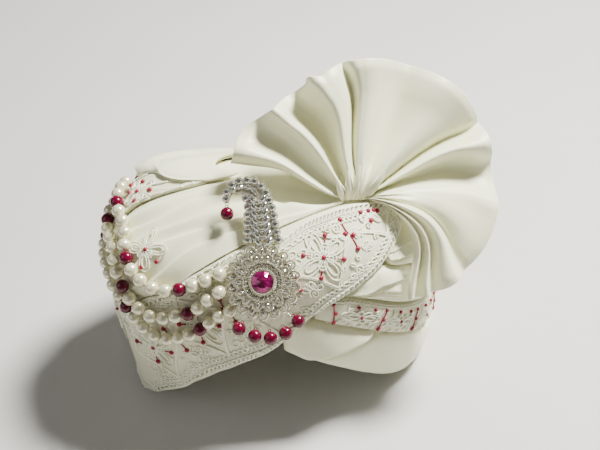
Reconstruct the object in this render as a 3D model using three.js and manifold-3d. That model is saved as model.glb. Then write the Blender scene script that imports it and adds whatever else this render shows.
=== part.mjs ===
import * as THREE from 'three';
import Module from 'manifold-3d';

const wasm = await Module();
wasm.setup();
const { Manifold, Mesh: SolidMesh } = wasm;

// Units are millimetres, +Z is up, the front of the turban faces -Y, the wearer's left is +X.

// Overall form of the wound body
const HALF_WIDTH = 104;
const FRONT_REACH = 145;
const BACK_REACH = 113;
const CROWN_HEIGHT = 170;
const SHOULDER_Z = 118;
const PROW_PINCH = 0.3;
const COLUMN_DEG = 9;

// Head hollow
const HOLLOW_HALF_WIDTH = 78;
const HOLLOW_HALF_LENGTH = 95;
const HOLLOW_CENTRE_Y = -14;
const HOLLOW_TOP = 138;
const HOLLOW_LIP = 6;

// Cloth sheets and rolls
const GAP = 0.35;
const BAND_STANDOFF = 1.4;
const RIGHT_STANDOFF = 2.6;
const BAND_THICK = 2;
const BRAID_RISE = 0.9;
const PLEAT_THICK = 1.8;
const ROLL_DEPTH = 12;
const ROLL_BULGE = 4;
const ROLL_SEAM = 7;
const WRAP_PUFF = 9;

// Fan of pleated cloth
const FAN_RADIUS = 90;
const FAN_THICK = 1.6;
const FAN_PLEAT = 8;
const FAN_TAIL = 14;
const FAN_AZIMUTH = 68;
const FAN_TILT = 30;
const FAN_LIFT = 12;
const FAN_ROOT = 0.13;
const KNOT_RADIUS = 10;

// Pearls and jewel
const PEARL_FILL = 0.97;
const THREAD_RADIUS = 1.1;
const BEAD_SIDES = 10;
const DROP_RADIUS = 4.7;
const ROSETTE_RADIUS = 25;
const JEWEL_TILT = 12;
const JEWEL_LIFT = 4.8;
const STONE_RADIUS = 7.3;
const PLATE_THICK = 1.6;

const RAD = Math.PI / 180;

// Wall profile, shares of the half width and reaches at heights given as shares of SHOULDER_Z
const WALL = [
  { z: 0, front: 0.962, side: 0.975, back: 0.98 },
  { z: 0.254, front: 0.985, side: 1.0, back: 1.0 },
  { z: 0.551, front: 1.01, side: 1.0, back: 1.0 },
  { z: 0.805, front: 1.025, side: 0.985, back: 0.98 },
  { z: 1, front: 1.01, side: 0.955, back: 0.95 },
];

// The right front shoulder is fuller than the rest, the right side behind it slopes away
const SHOULDER = { centre: -46, spread: 44, widen: 0.07, square: 0.53, lift: 0.4, rise: 2 };
const SLOPE = { centre: -103, spread: 82, drop: 0.34, narrow: 0.04, round: 1.5 };

function hermite(x, xs, ys) {
  const n = xs.length;
  const c = Math.min(Math.max(x, xs[0]), xs[n - 1]);
  let i = 0;
  while (i < n - 2 && c >= xs[i + 1]) i += 1;
  const slope = (k) => {
    if (k === 0) return (ys[1] - ys[0]) / (xs[1] - xs[0]);
    if (k === n - 1) return (ys[n - 1] - ys[n - 2]) / (xs[n - 1] - xs[n - 2]);
    const a = (ys[k] - ys[k - 1]) / (xs[k] - xs[k - 1]);
    const b = (ys[k + 1] - ys[k]) / (xs[k + 1] - xs[k]);
    return 0.5 * (a + b);
  };
  const h = xs[i + 1] - xs[i];
  const t = (c - xs[i]) / h;
  const t2 = t * t;
  const t3 = t2 * t;
  const value = (2 * t3 - 3 * t2 + 1) * ys[i] + (t3 - 2 * t2 + t) * h * slope(i);
  return value + (3 * t2 - 2 * t3) * ys[i + 1] + (t3 - t2) * h * slope(i + 1);
}

function column(rows, key, at) {
  return (x) => hermite(x, rows.map((r) => r[at]), rows.map((r) => r[key]));
}

function smooth(a, b, x) {
  const t = Math.min(Math.max((x - a) / (b - a), 0), 1);
  return t * t * (3 - 2 * t);
}

const wallFront = column(WALL, 'front', 'z');
const wallSide = column(WALL, 'side', 'z');
const wallBack = column(WALL, 'back', 'z');

// Outer surface of the wound body: u 0 to 1 climbs the wall, u 1 to 2 runs over the shoulder to the top
function body(deg, u) {
  const a = deg * RAD;
  const c = Math.cos(a);
  const s = Math.sin(a);
  const w = Math.min(Math.max(u, 0), 1);
  const al = Math.min(Math.max(u - 1, 0), 1) * Math.PI / 2;
  const end = c > 0 ? wallFront(w) : wallBack(w);
  let scale = wallSide(w) + (end - wallSide(w)) * c * c;
  const turn = ((deg + 180) % 360 + 360) % 360 - 180;
  const past = turn > 75 ? turn - 360 : turn;
  const g = smooth(0, 1, 1 - Math.abs(turn - SHOULDER.centre) / SHOULDER.spread);
  const b = smooth(0, 1, 1 - Math.abs(past - SLOPE.centre) / SLOPE.spread);
  scale *= 1 + (SHOULDER.widen * g - SLOPE.narrow * b) * w ** 1.5;
  const cap = Math.max(Math.cos(al), 1e-9) ** (0.75 - SHOULDER.square * g + SLOPE.round * b);
  const rise = Math.sin(al) ** (0.95 - SHOULDER.lift * g);
  const wall = SHOULDER_Z * (1 - SLOPE.drop * b);
  const z = w * wall + (CROWN_HEIGHT + SHOULDER.rise * g - wall) * rise;
  const pinch = 1 - PROW_PINCH * Math.max(0, c) ** 2;
  const reach = c > 0 ? FRONT_REACH : BACK_REACH;
  return new THREE.Vector3(HALF_WIDTH * s * pinch * scale * cap, -reach * c * scale * cap, z);
}

function bodyNormal(deg, u) {
  const uu = Math.min(Math.max(u, 0), 1.985);
  const p = body(deg, uu);
  const across = body(deg + 0.05, uu).sub(p);
  const up = body(deg, uu + 0.002).sub(p);
  return across.cross(up).normalize();
}

function over(deg, u, lift) {
  return body(deg, u).addScaledVector(bodyNormal(deg, u), lift);
}

// As over, with the direction smoothed over the stretch around the point
function overSoft(deg, u, lift) {
  const n = bodyNormal(deg, u);
  for (const turn of [-14, 14]) {
    for (const climb of [-0.12, 0.12]) n.add(bodyNormal(deg + turn, u + climb));
  }
  return body(deg, u).addScaledVector(n.normalize(), lift);
}

// Moves a point of the wall straight out or in, level with the floor
function level(deg, u, lift) {
  const n = bodyNormal(deg, Math.min(u, 0.9));
  n.z = 0;
  return body(deg, u).addScaledVector(n.normalize(), lift);
}

// Edges of the front bands and of the back rolls, u against the turn away from the front
const BAND_EDGE = [
  { turn: 0, low: 0.0, step: 0.16 },
  { turn: 12, low: 0.11, step: 0.25 },
  { turn: 24, low: 0.223, step: 0.36 },
  { turn: 36, low: 0.372, step: 0.5 },
  { turn: 50, low: 0.581, step: 0.68 },
  { turn: 59.5, low: 0.705, step: 0.78 },
  { turn: 68.5, low: 0.903, step: 0.955 },
  { turn: 79.5, low: 1.032, step: 1.085 },
  { turn: 94, low: 1.19, step: 1.24 },
  { turn: 105.5, low: 1.3, step: 1.35 },
  { turn: 117.5, low: 1.4, step: 1.4 },
  { turn: 140, low: 1.4, step: 1.2 },
  { turn: 160, low: 1.4, step: 1.06 },
  { turn: 180, low: 1.4, step: 1.0 },
];
const bandLow = column(BAND_EDGE, 'low', 'turn');
const stepU = column(BAND_EDGE, 'step', 'turn');

const ROLL_EDGE = [
  { turn: 60, rim: 0.71, first: 0.93, second: 1.08, third: 1.3 },
  { turn: 67.5, rim: 0.595, first: 0.9, second: 1.05, third: 1.27 },
  { turn: 81, rim: 0.402, first: 0.779, second: 0.992, third: 1.24 },
  { turn: 92, rim: 0.235, first: 0.64, second: 0.873, third: 1.19 },
  { turn: 109, rim: 0.06, first: 0.45, second: 0.7, third: 1.0 },
  { turn: 123, rim: 0.0, first: 0.33, second: 0.58, third: 0.86 },
  { turn: 145, rim: 0.0, first: 0.29, second: 0.54, third: 0.79 },
  { turn: 180, rim: 0.0, first: 0.27, second: 0.52, third: 0.76 },
];
const rimRaw = column(ROLL_EDGE, 'rim', 'turn');
const rimU = (turn) => Math.max(0, rimRaw(turn));

function turnOf(deg) {
  const t = ((deg + 180) % 360 + 360) % 360 - 180;
  return Math.abs(t);
}

// Share of the roll depth cut out of the wall at this turn
function recess(deg) {
  return smooth(50, 66, turnOf(deg));
}

function lowestU(deg) {
  const t = turnOf(deg);
  const front = bandLow(t) + 0.035;
  const back = rimU(t) + 0.03;
  return t < 60 ? front : back;
}

function solid(name, points, faces, look) {
  const vertices = new Float32Array(points.length * 3);
  points.forEach((p, i) => vertices.set([p.x, p.y, p.z], i * 3));
  let volume = 0;
  for (const [i, j, k] of faces) {
    volume += points[i].dot(points[j].clone().cross(points[k]));
  }
  const facing = volume < 0 ? faces.map(([i, j, k]) => [i, k, j]) : faces;
  const geometry = new THREE.BufferGeometry();
  geometry.setAttribute('position', new THREE.BufferAttribute(vertices, 3));
  geometry.setIndex(facing.flat());
  return named(name, geometry, look);
}

function named(name, geometry, look) {
  const flat = geometry.index ? geometry : geometry.clone();
  flat.computeVertexNormals();
  const mesh = new THREE.Mesh(flat, new THREE.MeshStandardMaterial(look));
  mesh.name = name;
  return mesh;
}

// Closed body between two grids of points of the same size
function sheet(name, top, bottom, look) {
  const rows = top.length;
  const cols = top[0].length;
  const points = [...top.flat(), ...bottom.flat()];
  const base = rows * cols;
  const at = (i, j) => i * cols + j;
  const faces = [];
  const quad = (a, b, c, d) => faces.push([a, b, c], [a, c, d]);
  for (let i = 0; i < rows - 1; i += 1) {
    for (let j = 0; j < cols - 1; j += 1) {
      quad(at(i, j), at(i + 1, j), at(i + 1, j + 1), at(i, j + 1));
      quad(base + at(i, j), base + at(i, j + 1), base + at(i + 1, j + 1), base + at(i + 1, j));
    }
  }
  for (let i = 0; i < rows - 1; i += 1) {
    quad(at(i, 0), base + at(i, 0), base + at(i + 1, 0), at(i + 1, 0));
    quad(at(i, cols - 1), at(i + 1, cols - 1), base + at(i + 1, cols - 1), base + at(i, cols - 1));
  }
  for (let j = 0; j < cols - 1; j += 1) {
    quad(at(0, j), at(0, j + 1), base + at(0, j + 1), base + at(0, j));
    quad(at(rows - 1, j), base + at(rows - 1, j), base + at(rows - 1, j + 1), at(rows - 1, j + 1));
  }
  return solid(name, points, faces, look);
}

// Closed body through a run of loops, each end closed on its own centre
function run(name, loops, look) {
  const n = loops[0].length;
  const points = loops.flat();
  const faces = [];
  for (let i = 0; i < loops.length - 1; i += 1) {
    for (let j = 0; j < n; j += 1) {
      const a = i * n + j;
      const b = i * n + (j + 1) % n;
      faces.push([a, b, b + n], [a, b + n, a + n]);
    }
  }
  const close = (start, flip) => {
    const middle = new THREE.Vector3();
    for (let j = 0; j < n; j += 1) middle.add(points[start + j]);
    points.push(middle.divideScalar(n));
    const m = points.length - 1;
    for (let j = 0; j < n; j += 1) {
      const a = start + j;
      const b = start + (j + 1) % n;
      faces.push(flip ? [m, b, a] : [m, a, b]);
    }
  };
  close(0, true);
  close((loops.length - 1) * n, false);
  return solid(name, points, faces, look);
}

// Looks
const IVORY = { color: 0xe9e6d3, roughness: 0.5, metalness: 0 };
const IVORY_SATIN = { color: 0xeeecdc, roughness: 0.42, metalness: 0 };
const EMBROIDERED = { color: 0xe3e0cd, roughness: 0.62, metalness: 0 };
const PEARL = { color: 0xf1ecd9, roughness: 0.22, metalness: 0 };
const MAGENTA = { color: 0x9d1450, roughness: 0.12, metalness: 0 };
const SILVER = { color: 0xcfcabd, roughness: 0.2, metalness: 1 };
const GEM = { color: 0xc4146b, roughness: 0.05, metalness: 0 };

const group = new THREE.Group();

// Wound crown with the open head hollow
function hollow(deg, z) {
  const a = deg * RAD;
  const spring = 0.62 * HOLLOW_TOP;
  const t = Math.min(Math.max((z - spring) / (HOLLOW_TOP - spring), 0), 1);
  const k = Math.sqrt(1 - t * t);
  const y = HOLLOW_CENTRE_Y - HOLLOW_HALF_LENGTH * Math.cos(a) * k;
  return new THREE.Vector3(HOLLOW_HALF_WIDTH * Math.sin(a) * k, y, z);
}

function crown() {
  const columns = Math.round(360 / COLUMN_DEG);
  const points = [];
  const rows = [];
  const climb = [0, 0.16, 0.32, 0.48, 0.63, 0.78, 0.92];
  const inside = [0.3, 0.62, 0.82, 0.95];
  for (let i = 0; i < columns; i += 1) {
    const deg = i * COLUMN_DEG;
    const low = lowestU(deg);
    const step = stepU(turnOf(deg));
    const depth = -ROLL_DEPTH * recess(deg);
    const below = step - 0.02;
    const above = step + 0.03;
    const line = [];
    for (const s of [0, 0.5, 0.8, 1]) line.push(level(deg, low + (below - low) * s, depth));
    for (const s of climb) line.push(body(deg, above + (2 - above) * s));
    const rimZ = line[0].z + HOLLOW_LIP;
    const lineIn = [hollow(deg, rimZ)];
    for (const s of inside) lineIn.push(hollow(deg, rimZ + (HOLLOW_TOP - rimZ) * s));
    rows.push([...lineIn.reverse(), ...line]);
  }
  const n = rows[0].length;
  rows.forEach((line) => points.push(...line));
  const faces = [];
  points.push(new THREE.Vector3(0, HOLLOW_CENTRE_Y, HOLLOW_TOP));
  points.push(body(0, 2).setX(0).setY(0));
  const inner = points.length - 2;
  const outer = points.length - 1;
  for (let i = 0; i < columns; i += 1) {
    const a = i * n;
    const b = ((i + 1) % columns) * n;
    for (let j = 0; j < n - 1; j += 1) {
      faces.push([a + j, b + j, b + j + 1], [a + j, b + j + 1, a + j + 1]);
    }
    faces.push([inner, b, a]);
    faces.push([outer, a + n - 1, b + n - 1]);
  }
  return solid('crown', points, faces, IVORY);
}
group.add(crown());

// Embroidered front bands, raised along both braided edges
const BAND_ROWS = [
  { share: 0, rise: 1 },
  { share: 0.08, rise: 1 },
  { share: 0.12, rise: 0 },
  { share: 0.25, rise: 0 },
  { share: 0.4, rise: 0 },
  { share: 0.55, rise: 0 },
  { share: 0.7, rise: 0 },
  { share: 0.82, rise: 0 },
  { share: 0.9, rise: 0 },
  { share: 0.94, rise: 1 },
  { share: 1, rise: 1 },
];

function band(name, edges, standoff, lifted) {
  const top = [];
  const bottom = [];
  for (const e of edges) {
    const t = [];
    const b = [];
    for (const row of BAND_ROWS) {
      const deg = e.lowTurn + (e.highTurn - e.lowTurn) * row.share;
      const u = e.low + (e.high - e.low) * row.share;
      t.push(lifted(deg, u, standoff + BAND_THICK + BRAID_RISE * row.rise));
      b.push(lifted(deg, u, standoff));
    }
    for (const p of [...t, ...b]) p.z = Math.max(p.z, 0);
    top.push(t);
    bottom.push(b);
  }
  return sheet(name, top, bottom, EMBROIDERED);
}

const LEFT_HIGH = [
  { turn: -9, high: 0.86 },
  { turn: 0, high: 0.85 },
  { turn: 7.5, high: 0.883 },
  { turn: 18, high: 1.0 },
  { turn: 27.5, high: 1.1 },
  { turn: 36, high: 1.285 },
  { turn: 46.5, high: 1.46 },
  { turn: 63.5, high: 1.61 },
  { turn: 85, high: 1.67 },
  { turn: 99, high: 1.64 },
  { turn: 117, high: 1.52 },
];
const leftHigh = column(LEFT_HIGH, 'high', 'turn');
const leftEdges = [];
for (let deg = -COLUMN_DEG; deg <= 117; deg += COLUMN_DEG) {
  const low = deg < 0 ? 0.08 * deg / -COLUMN_DEG : bandLow(deg);
  leftEdges.push({ lowTurn: deg, highTurn: deg, low, high: leftHigh(deg) });
}
group.add(band('left_front_band', leftEdges, BAND_STANDOFF, over));

const RIGHT_PATH = [
  { s: 0, lowTurn: -10.5, low: 0.1, highTurn: -10.5, high: 0.9 },
  { s: 1, lowTurn: -18, low: 0.167, highTurn: -14, high: 1.12 },
  { s: 2, lowTurn: -27, low: 0.26, highTurn: -15.5, high: 1.3 },
  { s: 3, lowTurn: -36, low: 0.372, highTurn: -15, high: 1.44 },
  { s: 4, lowTurn: -45, low: 0.505, highTurn: -13, high: 1.55 },
  { s: 5, lowTurn: -54, low: 0.635, highTurn: -11, high: 1.62 },
  { s: 6, lowTurn: -63, low: 0.79, highTurn: -9, high: 1.7 },
  { s: 7, lowTurn: -72, low: 0.95, highTurn: -8, high: 1.77 },
  { s: 8, lowTurn: -81, low: 1.05, highTurn: -10, high: 1.83 },
  { s: 9, lowTurn: -90, low: 1.15, highTurn: -20, high: 1.88 },
  { s: 10, lowTurn: -99, low: 1.24, highTurn: -45, high: 1.9 },
  { s: 11, lowTurn: -108, low: 1.33, highTurn: -80, high: 1.88 },
];
const rightEdges = [];
for (let s = 0; s <= 11; s += 1) {
  const edge = {};
  for (const key of ['lowTurn', 'low', 'highTurn', 'high']) edge[key] = column(RIGHT_PATH, key, 's')(s);
  rightEdges.push(edge);
}
group.add(band('right_front_band', rightEdges, RIGHT_STANDOFF, overSoft));

// Plain pleated cloth seen in the V between the two bands
const V_PATH = [
  { s: 0, leftTurn: 1, left: 0.885, rightTurn: -6, right: 0.92 },
  { s: 1, leftTurn: 9, left: 0.93, rightTurn: -9, right: 1.1 },
  { s: 2, leftTurn: 18, left: 1.035, rightTurn: -12, right: 1.28 },
  { s: 3, leftTurn: 27.5, left: 1.14, rightTurn: -12.5, right: 1.43 },
  { s: 4, leftTurn: 35, left: 1.31, rightTurn: -10, right: 1.55 },
  { s: 5, leftTurn: 44, left: 1.48, rightTurn: -6, right: 1.66 },
  { s: 6, leftTurn: 58, left: 1.62, rightTurn: -3, right: 1.75 },
  { s: 7, leftTurn: 76, left: 1.7, rightTurn: 0, right: 1.82 },
  { s: 8, leftTurn: 92, left: 1.71, rightTurn: 10, right: 1.88 },
];
const PLEAT_FOLDS = 4;
const PLEAT_RISE = 1.6;

function pleatedV() {
  const top = [];
  const bottom = [];
  for (let s = 0; s <= 8; s += 1) {
    const pick = (key) => column(V_PATH, key, 's')(s);
    const t = [];
    const b = [];
    for (let j = 0; j <= 2 * PLEAT_FOLDS; j += 1) {
      const w = j / (2 * PLEAT_FOLDS);
      const deg = pick('leftTurn') + (pick('rightTurn') - pick('leftTurn')) * w;
      const u = pick('left') + (pick('right') - pick('left')) * w;
      const fold = j % 2 === 1 ? PLEAT_RISE : 0;
      t.push(over(deg, u, BAND_STANDOFF + PLEAT_THICK + fold));
      b.push(over(deg, u, BAND_STANDOFF));
    }
    top.push(t);
    bottom.push(b);
  }
  return sheet('pleated_front', top, bottom, IVORY_SATIN);
}
group.add(pleatedV());

// Padded wrap over the right shoulder
const WRAP_PATH = [
  { s: 0, inTurn: -50, inner: 1.44, outTurn: -58, outer: 1.12, puff: 1 },
  { s: 1, inTurn: -48, inner: 1.6, outTurn: -65, outer: 1.14, puff: 0.8 },
  { s: 2, inTurn: -46, inner: 1.7, outTurn: -74, outer: 1.18, puff: 0.6 },
  { s: 3, inTurn: -48, inner: 1.78, outTurn: -84, outer: 1.24, puff: 0.5 },
  { s: 4, inTurn: -58, inner: 1.84, outTurn: -95, outer: 1.32, puff: 0.4 },
  { s: 5, inTurn: -80, inner: 1.86, outTurn: -108, outer: 1.4, puff: 0.3 },
  { s: 6, inTurn: -112, inner: 1.85, outTurn: -124, outer: 1.48, puff: 0.25 },
];

const WRAP_OUT = new THREE.Vector3(-0.55, -0.25, 0.8).normalize();

function shoulderWrap() {
  const top = [];
  const bottom = [];
  const floorLift = 1.4 * (RIGHT_STANDOFF + BAND_THICK + BRAID_RISE);
  for (let s = 0; s <= 6; s += 1) {
    const pick = (key) => column(WRAP_PATH, key, 's')(s);
    const t = [];
    const b = [];
    for (const w of [0, 0.15, 0.35, 0.5, 0.65, 0.85, 1]) {
      const deg = pick('inTurn') + (pick('outTurn') - pick('inTurn')) * w;
      const u = pick('inner') + (pick('outer') - pick('inner')) * w;
      const puff = WRAP_PUFF * pick('puff') * Math.max(0, Math.sin(w * Math.PI));
      t.push(body(deg, u).addScaledVector(WRAP_OUT, floorLift + 2 + puff));
      b.push(body(deg, u).addScaledVector(WRAP_OUT, floorLift));
    }
    top.push(t);
    bottom.push(b);
  }
  return sheet('right_wrap', top, bottom, IVORY_SATIN);
}
group.add(shoulderWrap());

// Four padded rolls round the back, tucked under the lower edges of the bands
const ROLLS = [
  { name: 'lower_roll', from: 'rim', to: 'first', start: 63, look: IVORY_SATIN },
  { name: 'embroidered_roll', from: 'first', to: 'second', start: 72, look: EMBROIDERED },
  { name: 'middle_roll', from: 'second', to: 'third', start: 81, look: IVORY_SATIN },
  { name: 'upper_roll', from: 'third', to: null, start: 99, look: IVORY_SATIN },
];
const ROLL_SHAPE = [
  { share: 0, seam: 1, bulge: 0 },
  { share: 0.14, seam: 0.1, bulge: 0.2 },
  { share: 0.36, seam: 0, bulge: 0.9 },
  { share: 0.64, seam: 0, bulge: 0.9 },
  { share: 0.86, seam: 0.1, bulge: 0.2 },
  { share: 1, seam: 1, bulge: 0 },
];

function roll(spec) {
  const loops = [];
  const fromU = spec.from === 'rim' ? rimU : column(ROLL_EDGE, spec.from, 'turn');
  const toU = spec.to ? column(ROLL_EDGE, spec.to, 'turn') : () => 9;
  for (let deg = spec.start; deg <= 360 - spec.start; deg += COLUMN_DEG) {
    const t = turnOf(deg);
    const top = Math.min(toU(t), stepU(t) - 0.035);
    const low = fromU(t) + (spec.from === 'rim' ? 0 : 0.003);
    const high = top - 0.003;
    const size = Math.min(1, (high - low) / 0.2);
    const depth = -ROLL_DEPTH * recess(deg) + 2;
    const loop = [level(deg, high, depth), level(deg, (low + high) / 2, depth), level(deg, low, depth)];
    for (const r of ROLL_SHAPE) {
      const u = low + (high - low) * r.share;
      loop.push(level(deg, u, size * (ROLL_BULGE * r.bulge - ROLL_SEAM * r.seam) - 3 * (1 - size)));
    }
    loops.push(loop);
  }
  return run(spec.name, loops, spec.look);
}
for (const spec of ROLLS) group.add(roll(spec));

// Fan: a pleated half disc spread from its gathered root
const KNOT_TURN = 116;
const KNOT_U = 1.665;
const knotSeat = over(KNOT_TURN, KNOT_U, GAP);
const fanCentre = over(KNOT_TURN, KNOT_U, FAN_LIFT);
const fanAz = FAN_AZIMUTH * RAD;
const fanEl = FAN_TILT * RAD;
const fanOut = new THREE.Vector3(
  Math.sin(fanAz) * Math.cos(fanEl), -Math.cos(fanAz) * Math.cos(fanEl), Math.sin(fanEl));
const fanRight = new THREE.Vector3(Math.cos(fanAz), Math.sin(fanAz), 0);
const fanUp = fanOut.clone().cross(fanRight);

// Outline radius as a share of FAN_RADIUS and pleat height as a share of FAN_PLEAT, by angle from fanRight
const FAN = [
  { angle: -72, radius: 0.99, pleat: 0.2 },
  { angle: -65, radius: 1.02, pleat: -0.3 },
  { angle: -56, radius: 1.043, pleat: 0.6 },
  { angle: -46, radius: 1.052, pleat: 0.1 },
  { angle: -32, radius: 1.063, pleat: 1 },
  { angle: -15, radius: 1.05, pleat: -1 },
  { angle: 2, radius: 1.02, pleat: 0.6 },
  { angle: 12, radius: 1.0, pleat: -0.5 },
  { angle: 22, radius: 1.008, pleat: 0.3 },
  { angle: 36, radius: 0.993, pleat: 0.8 },
  { angle: 57, radius: 0.968, pleat: -0.8 },
  { angle: 76, radius: 0.958, pleat: 0.7 },
  { angle: 88, radius: 0.955, pleat: 0.2 },
  { angle: 102, radius: 0.962, pleat: 0.7 },
  { angle: 111, radius: 0.903, pleat: -0.5 },
  { angle: 122, radius: 0.93, pleat: 0.8 },
  { angle: 134, radius: 0.967, pleat: -1 },
  { angle: 145, radius: 1.035, pleat: 0.7 },
  { angle: 152, radius: 1.11, pleat: 0.1 },
  { angle: 160, radius: 1.15, pleat: 0.6 },
  { angle: 168, radius: 1.155, pleat: 0 },
];
const FAN_RINGS = [FAN_ROOT, 0.34, 0.6, 0.84, 1];

function fanPoint(angle, q, back) {
  const radius = FAN_RADIUS * column(FAN, 'radius', 'angle')(angle) * q;
  const tail = smooth(-20, -58, angle);
  const root = smooth(FAN_ROOT, 0.4, q);
  let h = FAN_PLEAT * column(FAN, 'pleat', 'angle')(angle) * q;
  h += FAN_TAIL * tail * (0.3 + 0.7 * root) - back;
  return fanCentre.clone()
    .addScaledVector(fanRight, radius * Math.cos(angle * RAD))
    .addScaledVector(fanUp, radius * Math.sin(angle * RAD))
    .addScaledVector(fanOut, h);
}

function fan() {
  const angles = [];
  for (let k = 0; k < FAN.length - 1; k += 1) {
    angles.push(FAN[k].angle);
    angles.push((FAN[k].angle + FAN[k + 1].angle) / 2);
  }
  angles.push(FAN[FAN.length - 1].angle);
  const top = angles.map((a) => FAN_RINGS.map((q) => fanPoint(a, q, 0)));
  const bottom = angles.map((a) => FAN_RINGS.map((q) => fanPoint(a, q, FAN_THICK)));
  return sheet('fan', top, bottom, IVORY_SATIN);
}
group.add(fan());

// Gathered root of the fan, standing on the top of the crown
function fanKnot() {
  const axis = bodyNormal(KNOT_TURN, KNOT_U);
  const side = new THREE.Vector3(0, 0, 1).cross(axis).normalize();
  const other = axis.clone().cross(side);
  const loops = [];
  const rings = [
    { up: 0, r: 0.75 },
    { up: 0.35, r: 1 },
    { up: 0.75, r: 0.8 },
    { up: 1, r: 0.45 },
  ];
  const height = FAN_LIFT - GAP - FAN_THICK - 1;
  for (const ring of rings) {
    const loop = [];
    for (let k = 0; k < 14; k += 1) {
      const a = k * 2 * Math.PI / 14;
      const r = KNOT_RADIUS * ring.r * (k % 2 === 0 ? 1 : 0.86);
      loop.push(knotSeat.clone()
        .addScaledVector(axis, ring.up * height)
        .addScaledVector(side, r * Math.cos(a))
        .addScaledVector(other, r * Math.sin(a)));
    }
    loops.push(loop);
  }
  return run('fan_knot', loops, IVORY_SATIN);
}
group.add(fanKnot());

// Three strands of pearls draped over the front, each one body on its thread
const STRAND_LIFT = BAND_STANDOFF + BAND_THICK + BRAID_RISE + 0.5;
const STRANDS = [
  {
    name: 'pearl_strand_1',
    beads: 17,
    path: [[45, 1.31], [39.5, 1.236], [32, 1.161], [25, 1.131], [19.5, 1.146], [12, 1.185],
      [3.5, 1.245], [-5, 1.3], [-14, 1.34], [-25, 1.35], [-36, 1.32], [-43, 1.27]],
  },
  {
    name: 'pearl_strand_2',
    beads: 19,
    path: [[46, 1.2], [41.5, 1.12], [36, 1.0], [30.5, 0.95], [24, 0.915], [18, 0.935],
      [12, 1.0], [5, 1.1], [-3.5, 1.18], [-13, 1.21], [-24, 1.2], [-34, 1.19], [-42, 1.18]],
  },
  {
    name: 'pearl_strand_3',
    beads: 21,
    path: [[49.5, 1.07], [44.5, 0.99], [38.5, 0.87], [33, 0.805], [27, 0.77], [21.5, 0.79],
      [16, 0.84], [9, 0.925], [0, 1.005], [-9, 1.055], [-20, 1.06], [-32, 1.05], [-42, 1.03]],
  },
];

function strand(spec) {
  const keys = spec.path.map((p, i) => ({ s: i, turn: p[0], u: p[1] }));
  const last = keys.length - 1;
  const turnAt = column(keys, 'turn', 's');
  const uAt = column(keys, 'u', 's');
  const place = (r) => (s) => over(turnAt(s), uAt(s), STRAND_LIFT + r);
  const measure = (at) => {
    const marks = [{ s: 0, run: 0 }];
    let p = at(0);
    for (let k = 1; k <= 240; k += 1) {
      const s = last * k / 240;
      const q = at(s);
      marks.push({ s, run: marks[k - 1].run + q.distanceTo(p) });
      p = q;
    }
    return marks;
  };
  const pitch = measure(place(4.4)).at(-1).run / spec.beads;
  const radius = pitch / 2 * PEARL_FILL;
  const at = place(radius);
  const marks = measure(at);
  const total = marks.at(-1).run;
  const rows = [];
  const neck = Math.sqrt(radius * radius - THREAD_RADIUS * THREAD_RADIUS);
  for (let k = 0; k < spec.beads; k += 1) {
    const middle = total * (k + 0.5) / spec.beads;
    for (const a of [-1, -0.45, 0.45]) {
      const x = a === -1 ? -neck : radius * a;
      rows.push({ run: middle + x, r: a === -1 ? THREAD_RADIUS : Math.sqrt(radius * radius - x * x) });
    }
    if (k === spec.beads - 1) rows.push({ run: middle + neck, r: THREAD_RADIUS });
  }
  const loops = rows.map((row) => {
    const s = hermite(row.run, marks.map((m) => m.run), marks.map((m) => m.s));
    const c = at(s);
    const forward = at(Math.min(s + 0.02, last)).sub(at(Math.max(s - 0.02, 0))).normalize();
    const up = bodyNormal(turnAt(s), uAt(s));
    const sideways = forward.clone().cross(up).normalize();
    const lift = sideways.clone().cross(forward);
    const loop = [];
    for (let j = 0; j < BEAD_SIDES; j += 1) {
      const a = j * 2 * Math.PI / BEAD_SIDES;
      loop.push(c.clone()
        .addScaledVector(sideways, row.r * Math.cos(a))
        .addScaledVector(lift, row.r * Math.sin(a)));
    }
    return loop;
  });
  return run(spec.name, loops, PEARL);
}
for (const spec of STRANDS) group.add(strand(spec));

// Jewel: its own frame stands on the left band and leans back
const JEWEL_TURN = 56.5;
const JEWEL_U = 1.236;
const seatNormal = bodyNormal(JEWEL_TURN, JEWEL_U);
const jewelRight = new THREE.Vector3(0, 0, 1).cross(seatNormal).normalize();
const jewelOut = seatNormal.clone().applyAxisAngle(jewelRight, -JEWEL_TILT * RAD);
const jewelUp = jewelOut.clone().cross(jewelRight);
const jewelFrame = new THREE.Matrix4()
  .makeBasis(jewelRight, jewelUp, jewelOut)
  .setPosition(over(JEWEL_TURN, JEWEL_U, JEWEL_LIFT));

function toSolid(geometry) {
  const source = geometry.index ? geometry.toNonIndexed() : geometry;
  const position = source.getAttribute('position');
  const seen = new Map();
  const vertices = [];
  const indices = [];
  for (let i = 0; i < position.count; i += 1) {
    const p = [position.getX(i), position.getY(i), position.getZ(i)];
    const key = p.map((v) => Math.round(v * 1e4)).join(',');
    if (!seen.has(key)) {
      seen.set(key, vertices.length / 3);
      vertices.push(...p);
    }
    indices.push(seen.get(key));
  }
  const kept = [];
  for (let i = 0; i < indices.length; i += 3) {
    const [a, b, c] = indices.slice(i, i + 3);
    if (a !== b && b !== c && a !== c) kept.push(a, b, c);
  }
  return new Manifold(new SolidMesh({
    numProp: 3,
    vertProperties: new Float32Array(vertices),
    triVerts: new Uint32Array(kept),
  }));
}

function fromSolid(name, whole, frame, look) {
  const mesh = whole.getMesh();
  const points = [];
  for (let i = 0; i < mesh.vertProperties.length; i += mesh.numProp) {
    const p = new THREE.Vector3(...mesh.vertProperties.slice(i, i + 3));
    points.push(p.applyMatrix4(frame));
  }
  const faces = [];
  for (let i = 0; i < mesh.triVerts.length; i += 3) {
    faces.push([mesh.triVerts[i], mesh.triVerts[i + 1], mesh.triVerts[i + 2]]);
  }
  return solid(name, points, faces, look);
}

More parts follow.
